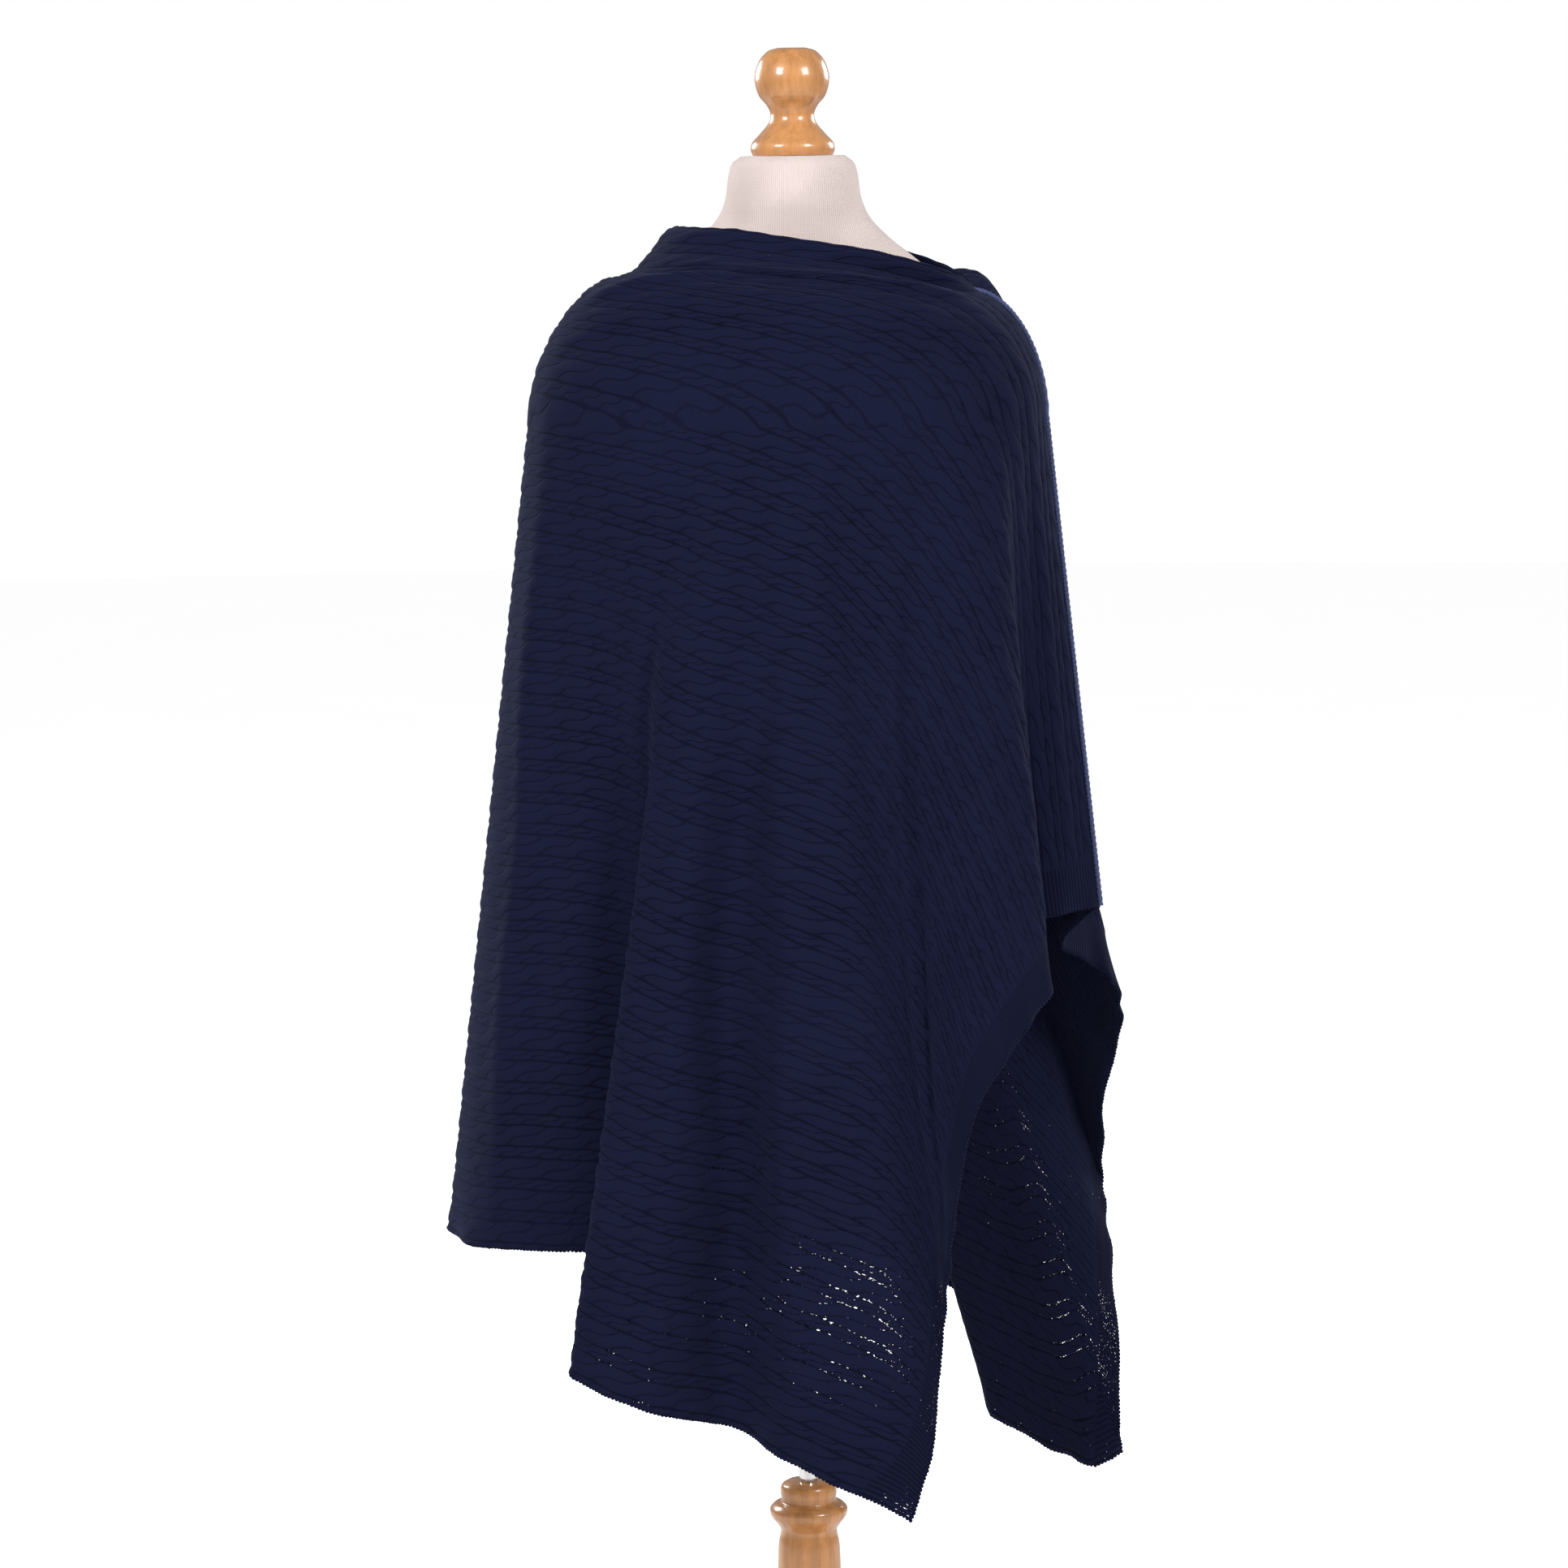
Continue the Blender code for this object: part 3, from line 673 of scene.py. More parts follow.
def wool_material(name, cloth, colour, cables=True):
    """Brushed cashmere: cable relief, grooves between the strands with painted shade in them, stitches, pinholes, loose
    fibres drawn lighter as painted glints and a soft sheen.
    """
    nodes = MaterialNodes(name)
    place = nodes.coordinates(flat=True)
    u, v, _ = nodes.parts(place)
    waver = nodes.math("MULTIPLY_ADD", nodes.noise(place, 14.0, 1.0), 0.004, -0.002)
    across = nodes.math("ADD", u, waver)
    along = nodes.math("MULTIPLY_ADD", waver, 2.5, v)
    # Fibre noise: it roughens the bump and the roughness, and its peaks are painted lighter as glints on loose fibres.
    fibre_and_painted_glint = nodes.noise(place, 900.0, 3.0, 0.65)
    patch = nodes.noise(place, 9.0, 2.0)
    if cables:
        step = nodes.math("DIVIDE", across, REPEAT)
        ropes = []
        for shift, rope in ((0.0, WIDE_ROPE), (0.5, NARROW_ROPE)):
            share = nodes.math("SUBTRACT", nodes.math("FRACT", nodes.math("ADD", step, shift)), 0.5)
            ropes.append(nodes.rope(nodes.math("MULTIPLY", share, REPEAT), along, rope))
        (wide, wide_gap), (narrow, narrow_gap) = ropes
        top = nodes.math("MAXIMUM", wide, narrow)
        on_wide = nodes.math("GREATER_THAN", wide, narrow)
        off_wide = nodes.math("SUBTRACT", 1.0, on_wide)
        gap = nodes.math("MULTIPLY_ADD", wide_gap, on_wide, nodes.math("MULTIPLY", narrow_gap, off_wide))
        # Relief shape, low at the strand edges and where two strands cross: it sets the bump and the painted groove
        # shade.
        edge = nodes.ranged(top, 0.0, 0.5)
        crossing = nodes.ranged(gap, 0.0, 0.26, 0.15, 1.0)
        band = nodes.ranged(nodes.math("ABSOLUTE", v), HALF_LENGTH - RIB_BAND, HALF_LENGTH - RIB_BAND + 0.004)
        ribs = nodes.math("MULTIPLY_ADD", nodes.math("SINE", nodes.math("MULTIPLY", u, math.tau / 0.0042)), 0.5, 0.5)
        shape = nodes.math("MULTIPLY", nodes.math("MULTIPLY", edge, crossing), nodes.math("SUBTRACT", 1.0, band))
        shape = nodes.math("MULTIPLY_ADD", ribs, band, shape)
        holes = nodes.noise(nodes.coordinates((1.0, 0.4, 1.0), flat=True), 1000.0, 1.0)
        stretched = nodes.math("MULTIPLY", nodes.ranged(u, 0.52, 0.8), nodes.ranged(nodes.math("ABSOLUTE", v), 0.3, 0.62))
        thin = nodes.math("MULTIPLY", nodes.ranged(patch, 0.38, 0.62), nodes.math("SUBTRACT", 1.0, shape))
        thin = nodes.math("MULTIPLY", thin, stretched)
        open_here = nodes.math("GREATER_THAN", nodes.math("MULTIPLY_ADD", thin, 0.2, holes), cloth.pinhole_limit)
        nodes.finish(Alpha=nodes.math("SUBTRACT", 1.0, open_here))
    else:
        # Ribs on the edge pieces: they set the bump and the painted shade in their troughs.
        shape = nodes.math("MULTIPLY_ADD", nodes.math("SINE", nodes.math("MULTIPLY", v, math.tau / 0.0034)), 0.3, 0.7)
    chevron = nodes.math("PINGPONG", nodes.math("DIVIDE", across, 0.0021), 0.5)
    course = nodes.math("ADD", nodes.math("DIVIDE", along, 0.0024), chevron)
    stitch = nodes.math("SINE", nodes.math("MULTIPLY", course, math.tau))
    height = nodes.math("MULTIPLY", shape, 0.0008)
    height = nodes.math("MULTIPLY_ADD", stitch, 0.00008, height)
    height = nodes.math("MULTIPLY_ADD", fibre_and_painted_glint, 0.00035, height)
    wool = tuple(colour) + (1.0,)
    # Painted shade: the colour darkens in the grooves beside and between the strands and in the rib troughs, where
    # shade would fall.
    mixed = nodes.mixed(shape, scaled(wool, cloth.groove_painted_shade), wool)
    mixed = nodes.mixed(nodes.ranged(patch, 0.35, 0.7, 0.0, 0.35), mixed, scaled(wool, 1.25))
    # Painted glints: loose fibres drawn lighter where the noise peaks.
    mixed = nodes.mixed(nodes.ranged(fibre_and_painted_glint, 0.62, 0.78, 0.0, 0.5), mixed, scaled(wool, 2.4))
    nodes.finish(Base_Color=mixed, Roughness=nodes.ranged(fibre_and_painted_glint, 0.3, 0.7, 0.95, 0.85))
    nodes.finish(Normal=nodes.bump(height, 0.9), Sheen_Weight=cloth.sheen, Sheen_Roughness=0.4)
    nodes.finish(Sheen_Tint=(0.42, 0.5, 0.95, 1.0), Specular_IOR_Level=0.06)
    return nodes.material


def jersey_material(form):
    """Fine cream jersey with upright ribs, painted shade in the rib troughs and a faint pink cast."""
    nodes = MaterialNodes("cream_jersey")
    place = nodes.coordinates()
    x, y, z = nodes.parts(place)
    turn = nodes.math("ARCTAN2", y, x)
    ribs = nodes.math("SINE", nodes.math("MULTIPLY", turn, 190.0))
    loops = nodes.math("SINE", nodes.math("MULTIPLY", z, math.tau / 0.0019))
    fuzz = nodes.noise(place, 1400.0, 2.0)
    patch = nodes.noise(place, 14.0, 2.0)
    height = nodes.math("MULTIPLY", ribs, 0.00016)
    height = nodes.math("MULTIPLY_ADD", loops, 0.00005, height)
    height = nodes.math("MULTIPLY_ADD", fuzz, 0.0001, height)
    cream = tuple(form.jersey_colour) + (1.0,)
    # Painted shade: the colour darkens in the troughs between the ribs.
    colour = nodes.mixed(nodes.ranged(ribs, -1.0, 0.2, 0.0, 1.0), scaled(cream, 0.86), cream)
    colour = nodes.mixed(nodes.ranged(patch, 0.4, 0.7, 0.0, 0.35), colour, (0.86, 0.72, 0.70, 1.0))
    nodes.finish(Base_Color=colour, Roughness=nodes.ranged(fuzz, 0.3, 0.7, 0.95, 0.8), Normal=nodes.bump(height, 0.8))
    nodes.finish(Sheen_Weight=0.15, Specular_IOR_Level=0.25)
    return nodes.material


def wood_material(stand):
    """Honey coloured wood under clear varnish, the grain running up the turning."""
    nodes = MaterialNodes("honey_wood")
    grain = nodes.noise(nodes.coordinates((1.0, 1.0, 0.09)), 130.0, 5.0, 0.62)
    pores = nodes.noise(nodes.coordinates((1.0, 1.0, 0.05)), 900.0, 2.0)
    broad = nodes.noise(nodes.coordinates((1.0, 1.0, 0.18)), 26.0, 2.0)
    honey = tuple(stand.wood_colour) + (1.0,)
    colour = nodes.mixed(nodes.ranged(grain, 0.38, 0.66), honey, scaled(honey, 0.72))
    colour = nodes.mixed(nodes.ranged(broad, 0.4, 0.66, 0.0, 0.4), colour, (0.70, 0.34, 0.12, 1.0))
    colour = nodes.mixed(nodes.ranged(pores, 0.6, 0.74, 0.0, 0.45), colour, scaled(honey, 0.45))
    height = nodes.math("MULTIPLY", pores, 0.00006)
    nodes.finish(Base_Color=colour, Roughness=nodes.ranged(grain, 0.3, 0.7, 0.34, 0.46), Normal=nodes.bump(height, 0.5))
    nodes.finish(Coat_Weight=0.8, Coat_Roughness=stand.varnish_roughness, Specular_IOR_Level=0.5)
    return nodes.material


def chrome_material():
    """Polished chrome with faint wiping marks."""
    nodes = MaterialNodes("chrome")
    wipe = nodes.noise(nodes.coordinates((1.0, 1.0, 0.15)), 300.0, 3.0)
    colour = nodes.mixed(nodes.ranged(wipe, 0.4, 0.7), (0.78, 0.77, 0.76, 1.0), (0.66, 0.65, 0.64, 1.0))
    nodes.finish(Base_Color=colour, Roughness=nodes.ranged(wipe, 0.35, 0.7, 0.08, 0.2), Metallic=1.0)
    nodes.finish(Normal=nodes.bump(nodes.math("MULTIPLY", wipe, 0.00002), 0.3))
    return nodes.material


def floor_material(stage):
    """Plain pale studio floor, barely mottled."""
    nodes = MaterialNodes("pale_floor")
    mottle = nodes.noise(nodes.coordinates(), 3.0, 2.0)
    pale = tuple(stage.floor_colour) + (1.0,)
    nodes.finish(Base_Color=nodes.mixed(nodes.ranged(mottle, 0.3, 0.7), pale, scaled(pale, 0.985)), Roughness=0.9)
    seen = nodes.tree.nodes.new("ShaderNodeLightPath").outputs["Is Camera Ray"]
    glow = nodes.math("MULTIPLY", seen, stage.floor_glow)
    nodes.finish(Emission_Color=(1.0, 1.0, 1.0, 1.0), Emission_Strength=glow)
    return nodes.material


# Cloth pieces


def flat_grid(first, last):
    """Flat points of a panel between two v values, rows by columns."""
    return np.meshgrid(np.linspace(0.0, PANEL_WIDTH, CLOTH_COLUMNS), np.linspace(first, last, CLOTH_ROWS))


@functools.lru_cache(maxsize=None)
def seat_drop():
    """How far the cloth comes down so that its inside rests a hair above the form."""
    form = bpy.data.objects["jersey_form"].data
    body = BVHTree.FromPolygons([v.co.copy() for v in form.vertices], [tuple(p.vertices) for p in form.polygons])
    u, v = np.meshgrid(np.linspace(0.0, RING_U, 41), np.linspace(-RING_V, RING_V, 161))
    point, out = cloth_frame(u.ravel(), v.ravel())
    inner = point - out * WALL / 2
    gaps = []
    for place in inner:
        hit = body.ray_cast(Vector(place), Vector((0, 0, -1)))[3]
        if hit is not None:
            gaps.append(hit)
    rows, columns = u.shape
    faces = [
        (r * columns + c, r * columns + c + 1, (r + 1) * columns + c + 1, (r + 1) * columns + c)
        for r in range(rows - 1)
        for c in range(columns - 1)
    ]
    cloth = BVHTree.FromPolygons(inner.tolist(), faces)
    for vertex in form.vertices:
        if vertex.co.z > 1.3:
            hit = cloth.ray_cast(vertex.co, Vector((0, 0, 1)))[3]
            if hit is not None:
                gaps.append(hit)
    return min(gaps) - SEAT_GAP


def outer_point(u, v, cloth):
    """Points on the outer face of the finished cloth, in place."""
    point, out = cloth_frame(u, v)
    rise = WALL / 2 + knit_relief(u, v, cloth.cable_height) + crease_relief(u, v)
    point = point + out * rise[:, None]
    point[:, 2] -= seat_drop()
    return point, out


def make_panel(name, first, last, cloth, material):
    """Half of the folded rectangle as a closed thin wall, its inside on every second line of its outside."""
    u, v = flat_grid(first, last)
    outer = outer_point(u.ravel(), v.ravel(), cloth)[0]
    u_in = u[::2, ::2].ravel()
    v_in = v[::2, ::2].ravel()
    point, out = cloth_frame(u_in, v_in)
    inner = point + out * (crease_relief(u_in, v_in) - WALL / 2)[:, None]
    inner[:, 2] -= seat_drop()
    rows, columns = u.shape
    half_rows = (rows + 1) // 2
    half_columns = (columns + 1) // 2
    start = rows * columns
    outside = np.arange(start).reshape(rows, columns)
    inside = start + np.arange(half_rows * half_columns).reshape(half_rows, half_columns)

    def quads(grid):
        corners = (grid[:-1, :-1], grid[1:, :-1], grid[1:, 1:], grid[:-1, 1:])
        return np.stack([c.ravel() for c in corners], -1)

    def rim(grid):
        return np.concatenate([grid[:, 0], grid[-1, 1:], grid[-2::-1, -1], grid[0, -2::-1]])

    faces = quads(outside)[:, ::-1].tolist() + quads(inside).tolist()
    outer_rim = rim(outside)
    inner_rim = rim(inside)
    edge = []
    for k in range(len(inner_rim) - 1):
        a, b, c = (int(i) for i in outer_rim[2 * k : 2 * k + 3])
        d, e = int(inner_rim[k]), int(inner_rim[k + 1])
        edge += [(a, b, d), (b, e, d), (b, c, e)]
    uv = np.concatenate([np.column_stack([u.ravel(), v.ravel()]), np.column_stack([u_in, v_in])])
    return new_piece(name, np.vstack([outer, inner]), faces + edge, material, uv, len(edge))


def make_seam(cloth, material):
    """The welt along the join, a slim round cord with the small knots of its linking."""
    sides = 10
    rows = np.linspace(NECK_HALF + 0.001, HALF_LENGTH, 420)
    point, out = cloth_frame(np.zeros_like(rows), rows - 1e-7)
    along = np.gradient(point, axis=0)
    along /= np.linalg.norm(along, axis=1)[:, None]
    side = np.cross(out, along)
    centre = point + out * (WALL / 2 + 0.0027)
    centre[:, 2] -= seat_drop()
    radius = 0.0022 + 0.0003 * np.sin(rows * math.tau / 0.0052)
    turn = np.linspace(0, math.tau, sides, endpoint=False)
    spoke = out[:, None] * np.sin(turn)[:, None] + side[:, None] * np.cos(turn)[:, None]
    verts = (centre[:, None] + spoke * radius[:, None, None]).reshape(-1, 3)
    last = len(verts) - sides
    faces = [tuple(range(sides))[::-1], tuple(range(last, last + sides))]
    for r in range(len(rows) - 1):
        for k in range(sides):
            nxt = (k + 1) % sides
            faces.append((r * sides + k, r * sides + nxt, (r + 1) * sides + nxt, (r + 1) * sides + k))
    uv = np.column_stack([np.tile(turn * 0.0022, len(rows)), np.repeat(rows, sides)])
    return new_piece("side_seam_welt", verts, faces, material, uv)


def edge_loops_tree():
    """Geometry Nodes: small realised loops set side by side along a path."""
    tree = bpy.data.node_groups.new("Edge Loops", "GeometryNodeTree")
    sockets = {"Path": "NodeSocketGeometry", "Spacing": "NodeSocketFloat", "Loop Width": "NodeSocketFloat"}
    sockets.update({"Size Spread": "NodeSocketFloat", "Seed": "NodeSocketInt", "Material": "NodeSocketMaterial"})
    for name, kind in sockets.items():
        tree.interface.new_socket(name, in_out="INPUT", socket_type=kind)
    tree.interface.new_socket("Loops", in_out="OUTPUT", socket_type="NodeSocketGeometry")
    add = tree.nodes.new
    link = tree.links.new
    given = add("NodeGroupInput").outputs
    curve = add("GeometryNodeMeshToCurve")
    link(given["Path"], curve.inputs["Mesh"])
    points = add("GeometryNodeCurveToPoints")
    points.mode = "LENGTH"
    link(curve.outputs[0], points.inputs["Curve"])
    link(given["Spacing"], points.inputs["Length"])
    bead = add("GeometryNodeMeshUVSphere")
    bead.inputs["Segments"].default_value = 8
    bead.inputs["Rings"].default_value = 5
    bead.inputs["Radius"].default_value = 0.5
    size = add("ShaderNodeCombineXYZ")
    longer = add("ShaderNodeMath")
    longer.operation = "MULTIPLY"
    longer.inputs[1].default_value = 1.22
    link(given["Spacing"], longer.inputs[0])
    link(given["Loop Width"], size.inputs[0])
    link(given["Loop Width"], size.inputs[1])
    link(longer.outputs[0], size.inputs[2])
    spread = add("FunctionNodeRandomValue")
    spread.data_type = "FLOAT"
    low = add("ShaderNodeMath")
    low.operation = "SUBTRACT"
    low.inputs[0].default_value = 1.0
    link(given["Size Spread"], low.inputs[1])
    link(low.outputs[0], spread.inputs[2])
    spread.inputs[3].default_value = 1.0
    link(given["Seed"], spread.inputs["Seed"])
    grown = add("ShaderNodeVectorMath")
    grown.operation = "SCALE"
    link(size.outputs[0], grown.inputs[0])
    link(spread.outputs[1], grown.inputs["Scale"])
    place = add("GeometryNodeInstanceOnPoints")
    link(points.outputs["Points"], place.inputs["Points"])
    link(bead.outputs["Mesh"], place.inputs["Instance"])
    link(points.outputs["Rotation"], place.inputs["Rotation"])
    link(grown.outputs[0], place.inputs["Scale"])
    real = add("GeometryNodeRealizeInstances")
    link(place.outputs[0], real.inputs[0])
    coated = add("GeometryNodeSetMaterial")
    link(real.outputs[0], coated.inputs["Geometry"])
    link(given["Material"], coated.inputs["Material"])
    link(coated.outputs[0], add("NodeGroupOutput").inputs[0])
    return tree


def make_edge_loops(name, u, v, cloth, material, seed):
    """Cast-off loops along one edge of the cloth, given by flat points."""
    point, _ = cloth_frame(u, v)
    inner_share = np.clip(knit_relief(u, v, cloth.cable_height) / 2, 0, None)
    point = outer_point(u, v, cloth)[0] - cloth_frame(u, v)[1] * (WALL / 2 + inner_share)[:, None]
    path = bpy.data.meshes.new(name)
    path.from_pydata(point.tolist(), [(k, k + 1) for k in range(len(point) - 1)], [])
    obj = bpy.data.objects.new(name, path)
    bpy.context.scene.collection.objects.link(obj)
    tree = bpy.data.node_groups.get("Edge Loops") or edge_loops_tree()
    modifier = obj.modifiers.new("Edge Loops", "NODES")
    modifier.node_group = tree
    values = {
        "Spacing": cloth.loop_spacing,
        "Loop Width": cloth.loop_width,
        "Size Spread": 0.22,
        "Seed": seed,
        "Material": material,
    }
    for item in tree.interface.items_tree:
        if item.in_out == "INPUT" and item.name in values:
            modifier[item.identifier] = values[item.name]
    bpy.context.view_layer.update()
    made = obj.evaluated_get(bpy.context.evaluated_depsgraph_get())
    mesh = bpy.data.meshes.new_from_object(made)
    obj.modifiers.remove(modifier)
    obj.data = mesh
    bpy.data.meshes.remove(path)
    mesh.name = name
    mesh.shade_smooth()
    return obj


# Settings


class PONCHO_PG_cloth(bpy.types.PropertyGroup):
    """Knitted cloth."""

    wool_colour: bpy.props.FloatVectorProperty(
        name="Wool colour", description="Colour of the yarn", subtype="COLOR", size=3, default=(0.0075, 0.0090, 0.0300)
    )
    # Painted highlight: the seam is drawn much lighter than the wool, in place of rim light along its fuzzy ridge.
    seam_painted_highlight_colour: bpy.props.FloatVectorProperty(
        name="Seam colour", description="Colour of the fuzzy seam", subtype="COLOR", size=3, default=(0.085, 0.105, 0.22)
    )
    pinhole_limit: bpy.props.FloatProperty(
        name="Pinhole limit", description="Higher leaves fewer open pinholes between the cables", default=0.745
    )
    # Painted shade: how much darker the grooves beside the yarn are drawn.
    groove_painted_shade: bpy.props.FloatProperty(
        name="Groove shade", description="How dark the grooves are beside the yarn", default=0.5, subtype="FACTOR"
    )
    sheen: bpy.props.FloatProperty(
        name="Sheen", description="Strength of the brushed fibres' soft light", default=0.06, subtype="FACTOR"
    )
    cable_height: bpy.props.FloatProperty(
        name="Cable height", description="How far the cables stand out", default=0.0022, unit="LENGTH"
    )
    loop_spacing: bpy.props.FloatProperty(
        name="Loop spacing", description="Distance between the cast-off loops", default=0.0034, unit="LENGTH"
    )
    loop_width: bpy.props.FloatProperty(
        name="Loop width", description="Width of a cast-off loop", default=0.0042, unit="LENGTH"
    )


class PONCHO_PG_form(bpy.types.PropertyGroup):
    """Jersey covered form."""

    jersey_colour: bpy.props.FloatVectorProperty(
        name="Jersey colour", description="Colour of the form's cover", subtype="COLOR", size=3, default=(0.70, 0.59, 0.56)
    )
    around: bpy.props.IntProperty(name="Faces around", description="Faces around the form", default=128, min=32)


class PONCHO_PG_stand(bpy.types.PropertyGroup):
    """Turned stand and knob."""

    wood_colour: bpy.props.FloatVectorProperty(
        name="Wood colour", description="Colour of the varnished wood", subtype="COLOR", size=3, default=(0.62, 0.27, 0.085)
    )
    varnish_roughness: bpy.props.FloatProperty(
        name="Varnish roughness", description="How dull the varnish is", default=0.12, subtype="FACTOR"
    )


class PONCHO_PG_stage(bpy.types.PropertyGroup):
    """Studio."""

    floor_colour: bpy.props.FloatVectorProperty(
        name="Floor colour", description="Colour of the floor", subtype="COLOR", size=3, default=(0.92, 0.92, 0.92)
    )
    floor_glow: bpy.props.FloatProperty(name="Floor glow", description="Keeps the floor pale", default=0.72)
    surround: bpy.props.FloatProperty(name="Surround", description="Strength of the even light", default=0.28)
    box_power: bpy.props.FloatProperty(name="Box power", description="Soft box light", default=84.0, unit="POWER")


# Operators


class PONCHO_OT_form(bpy.types.Operator):
    """Make the limbless form with its jersey cover"""

    bl_idname = "poncho.form"
    bl_label = "Dress form"

    def execute(self, context):
        form = context.scene.poncho_form
        rings = smooth_rows(FORM_SECTIONS, 6)
        piece = loft("jersey_form", rings, form.around, jersey_material(form))
        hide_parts("dress_form")
        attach(piece, "root")
        return {"FINISHED"}


class PONCHO_OT_stand(bpy.types.Operator):
    """Make the turned knob, column and foot and the chrome pole"""

    bl_idname = "poncho.stand"
    bl_label = "Knob and stand"

    def execute(self, context):
        wood = wood_material(context.scene.poncho_stand)
        for name, node, profile, base in (
            ("turned_knob", "neck_knob", KNOB_PROFILE, KNOB_BASE),
            ("turned_column", "stand_column", COLUMN_PROFILE, 0.0),
            ("turned_foot", "stand_base", BASE_PROFILE, 0.0),
        ):
            piece = turned(name, profile, base, 6, wood)
            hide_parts(node)
            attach(piece, "root")
        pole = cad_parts["stand_pole"]
        chrome = chrome_material()
        for slot in pole.material_slots:
            slot.material = chrome
        return {"FINISHED"}


class PONCHO_OT_cloth(bpy.types.Operator):
    """Make the knitted cloth with its side seam and cast-off edges"""

    bl_idname = "poncho.cloth"
    bl_label = "Poncho"

    def execute(self, context):
        cloth = context.scene.poncho_cloth
        wool = wool_material("navy_cashmere", cloth, cloth.wool_colour)
        edging = wool_material("navy_cashmere_edge", cloth, cloth.wool_colour, cables=False)
        # Painted highlight: the seam's material takes the lighter seam colour in place of rim light on its fuzzy ridge.
        fuzzy_and_painted_highlight = wool_material("navy_cashmere_seam_painted_highlight", cloth, cloth.seam_painted_highlight_colour, cables=False)
        across = np.linspace(0.0, PANEL_WIDTH, 320)
        along = np.linspace(0.0, HALF_LENGTH, 320)
        neck = np.linspace(0.0, NECK_HALF, 140)
        for side, name, node, sign in (("front", "front_cloth", "front_panel", 1), ("back", "back_cloth", "back_panel", -1)):
            ends = (0.0, HALF_LENGTH) if sign > 0 else (-HALF_LENGTH, 0.0)
            panel = make_panel(name, *ends, cloth, wool)
            trims = [
                make_edge_loops(side + "_neck_loops", np.zeros_like(neck), neck * sign, cloth, edging, 3),
                make_edge_loops(side + "_hem_loops", np.full_like(along, PANEL_WIDTH), along * sign, cloth, edging, 5),
                make_edge_loops(side + "_end_loops", across, np.full_like(across, HALF_LENGTH * sign), cloth, edging, 7),
            ]
            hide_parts(node)
            if sign > 0:
                seam = make_seam(cloth, fuzzy_and_painted_highlight)
                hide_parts("side_seam")
                trims.append(seam)
            for piece in [panel] + trims:
                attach(piece, "root")
        return {"FINISHED"}


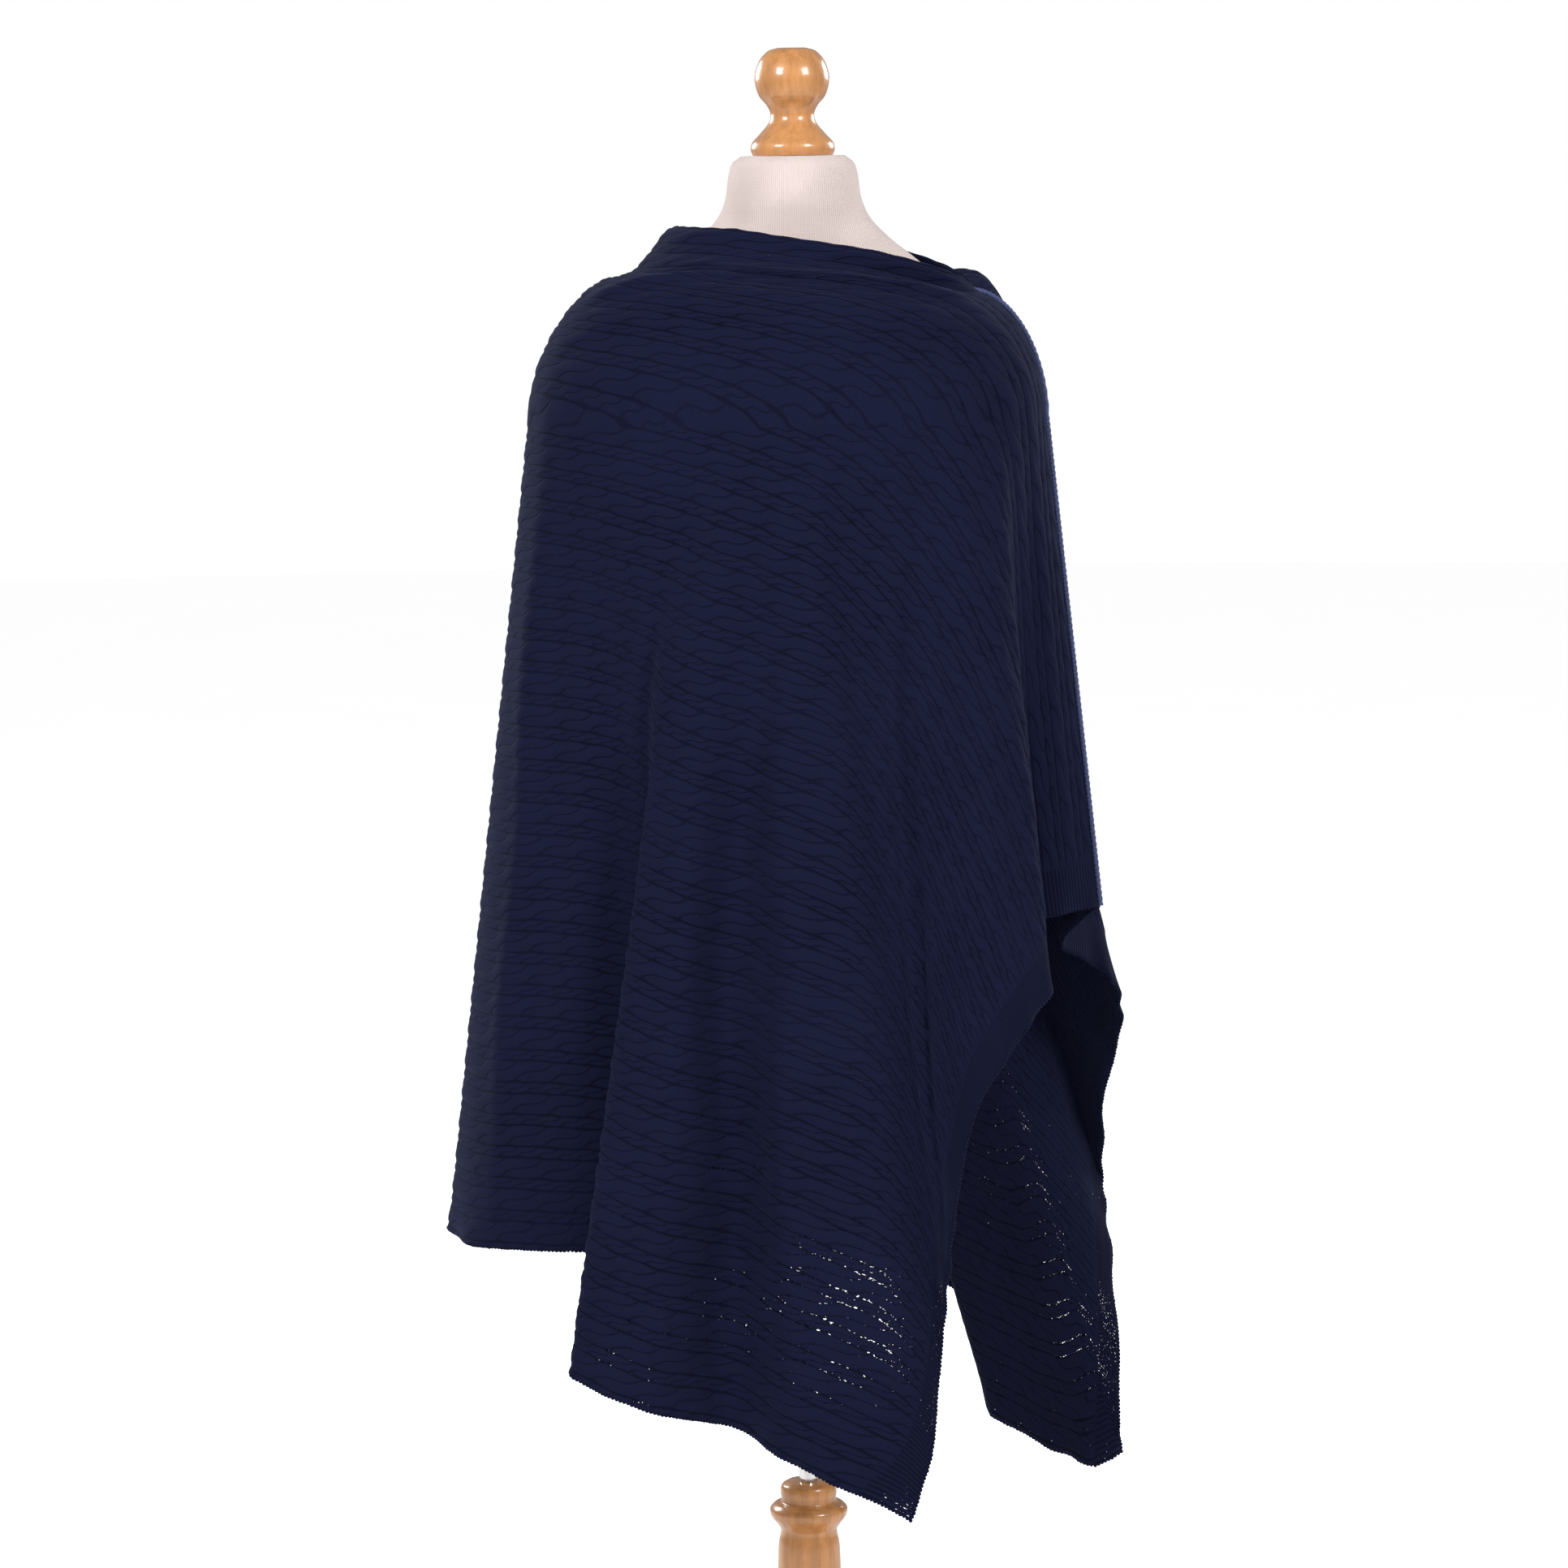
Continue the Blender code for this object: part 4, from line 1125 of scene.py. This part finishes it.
class PONCHO_OT_stage(bpy.types.Operator):
    """Make the floor, the soft light and the camera"""

    bl_idname = "poncho.stage"
    bl_label = "Studio"

    def execute(self, context):
        scene = context.scene
        stage = scene.poncho_stage
        turn = np.linspace(0, math.tau, 96, endpoint=False)
        verts = np.column_stack([14 * np.cos(turn), 14 * np.sin(turn), np.zeros(96)])
        floor = new_piece("floor", verts, [tuple(range(96))], floor_material(stage))
        world = bpy.data.worlds.new("studio")
        world.use_nodes = True
        background = world.node_tree.nodes["Background"]
        background.inputs["Color"].default_value = (1.0, 1.0, 1.0, 1.0)
        seen = world.node_tree.nodes.new("ShaderNodeLightPath")
        strength = world.node_tree.nodes.new("ShaderNodeMath")
        strength.operation = "MAXIMUM"
        strength.inputs[1].default_value = stage.surround
        world.node_tree.links.new(seen.outputs["Is Camera Ray"], strength.inputs[0])
        world.node_tree.links.new(strength.outputs[0], background.inputs["Strength"])
        scene.world = world
        middle = Vector((0.0, 0.0, 1.15))
        for name, place, share in (
            ("left_box", (-2.0, -2.3, 2.9), 1.0),
            ("right_box", (2.1, -2.2, 2.8), 0.8),
            ("back_left_box", (-2.0, 2.0, 2.0), 0.55),
            ("back_right_box", (2.0, 2.0, 2.0), 0.4),
        ):
            light = bpy.data.lights.new(name, "AREA")
            light.shape = "SQUARE"
            light.size = 1.1
            light.energy = stage.box_power * share
            lamp = bpy.data.objects.new(name, light)
            lamp.location = place
            lamp.rotation_euler = (middle - Vector(place)).to_track_quat("-Z", "Y").to_euler()
            scene.collection.objects.link(lamp)
        camera = bpy.data.cameras.new("camera")
        camera.lens = LENS
        camera.sensor_width = SENSOR
        camera.clip_end = 60.0
        eye = bpy.data.objects.new("camera", camera)
        tilt = math.radians(CAMERA_ELEVATION)
        back = Vector((0.0, -math.cos(tilt), math.sin(tilt)))
        up = Vector((0.0, math.sin(tilt), math.cos(tilt)))
        roll = math.radians(CAMERA_ROLL)
        level = Vector((1.0, 0.0, 0.0))
        right = level * math.cos(roll) - up * math.sin(roll)
        upright = up * math.cos(roll) + level * math.sin(roll)
        turned_to = Matrix((right, upright, back)).transposed().to_4x4()
        eye.matrix_world = Matrix.Translation(Vector(CAMERA_TARGET) + back * CAMERA_DISTANCE) @ turned_to
        scene.collection.objects.link(eye)
        scene.camera = eye
        scene.view_settings.view_transform = "Standard"
        return {"FINISHED"}


class PONCHO_PT_panel(bpy.types.Panel):
    """Lists the steps and their settings"""

    bl_idname = "PONCHO_PT_panel"
    bl_label = "Poncho"
    bl_space_type = "VIEW_3D"
    bl_region_type = "UI"
    bl_category = "Poncho"

    def draw(self, context):
        for key, operator in STEPS:
            group = getattr(context.scene, key)
            box = self.layout.box()
            for name in group.__annotations__:
                box.prop(group, name)
            box.operator(operator)


STEPS = (
    ("poncho_form", "poncho.form"),
    ("poncho_stand", "poncho.stand"),
    ("poncho_cloth", "poncho.cloth"),
    ("poncho_stage", "poncho.stage"),
)
GROUPS = {
    "poncho_form": PONCHO_PG_form,
    "poncho_stand": PONCHO_PG_stand,
    "poncho_cloth": PONCHO_PG_cloth,
    "poncho_stage": PONCHO_PG_stage,
}
CLASSES = (*GROUPS.values(), PONCHO_OT_form, PONCHO_OT_stand, PONCHO_OT_cloth, PONCHO_OT_stage, PONCHO_PT_panel)


def register():
    """Add the classes and their settings."""
    for cls in CLASSES:
        bpy.utils.register_class(cls)
    for key, group in GROUPS.items():
        setattr(bpy.types.Scene, key, bpy.props.PointerProperty(type=group))


def unregister():
    """Remove what register added."""
    for key in GROUPS:
        delattr(bpy.types.Scene, key)
    for cls in reversed(CLASSES):
        bpy.utils.unregister_class(cls)


def main():
    """Run the steps in order."""
    register()
    bpy.ops.poncho.form()
    bpy.ops.poncho.stand()
    bpy.ops.poncho.cloth()
    bpy.ops.poncho.stage()


if __name__ == "__main__":
    main()
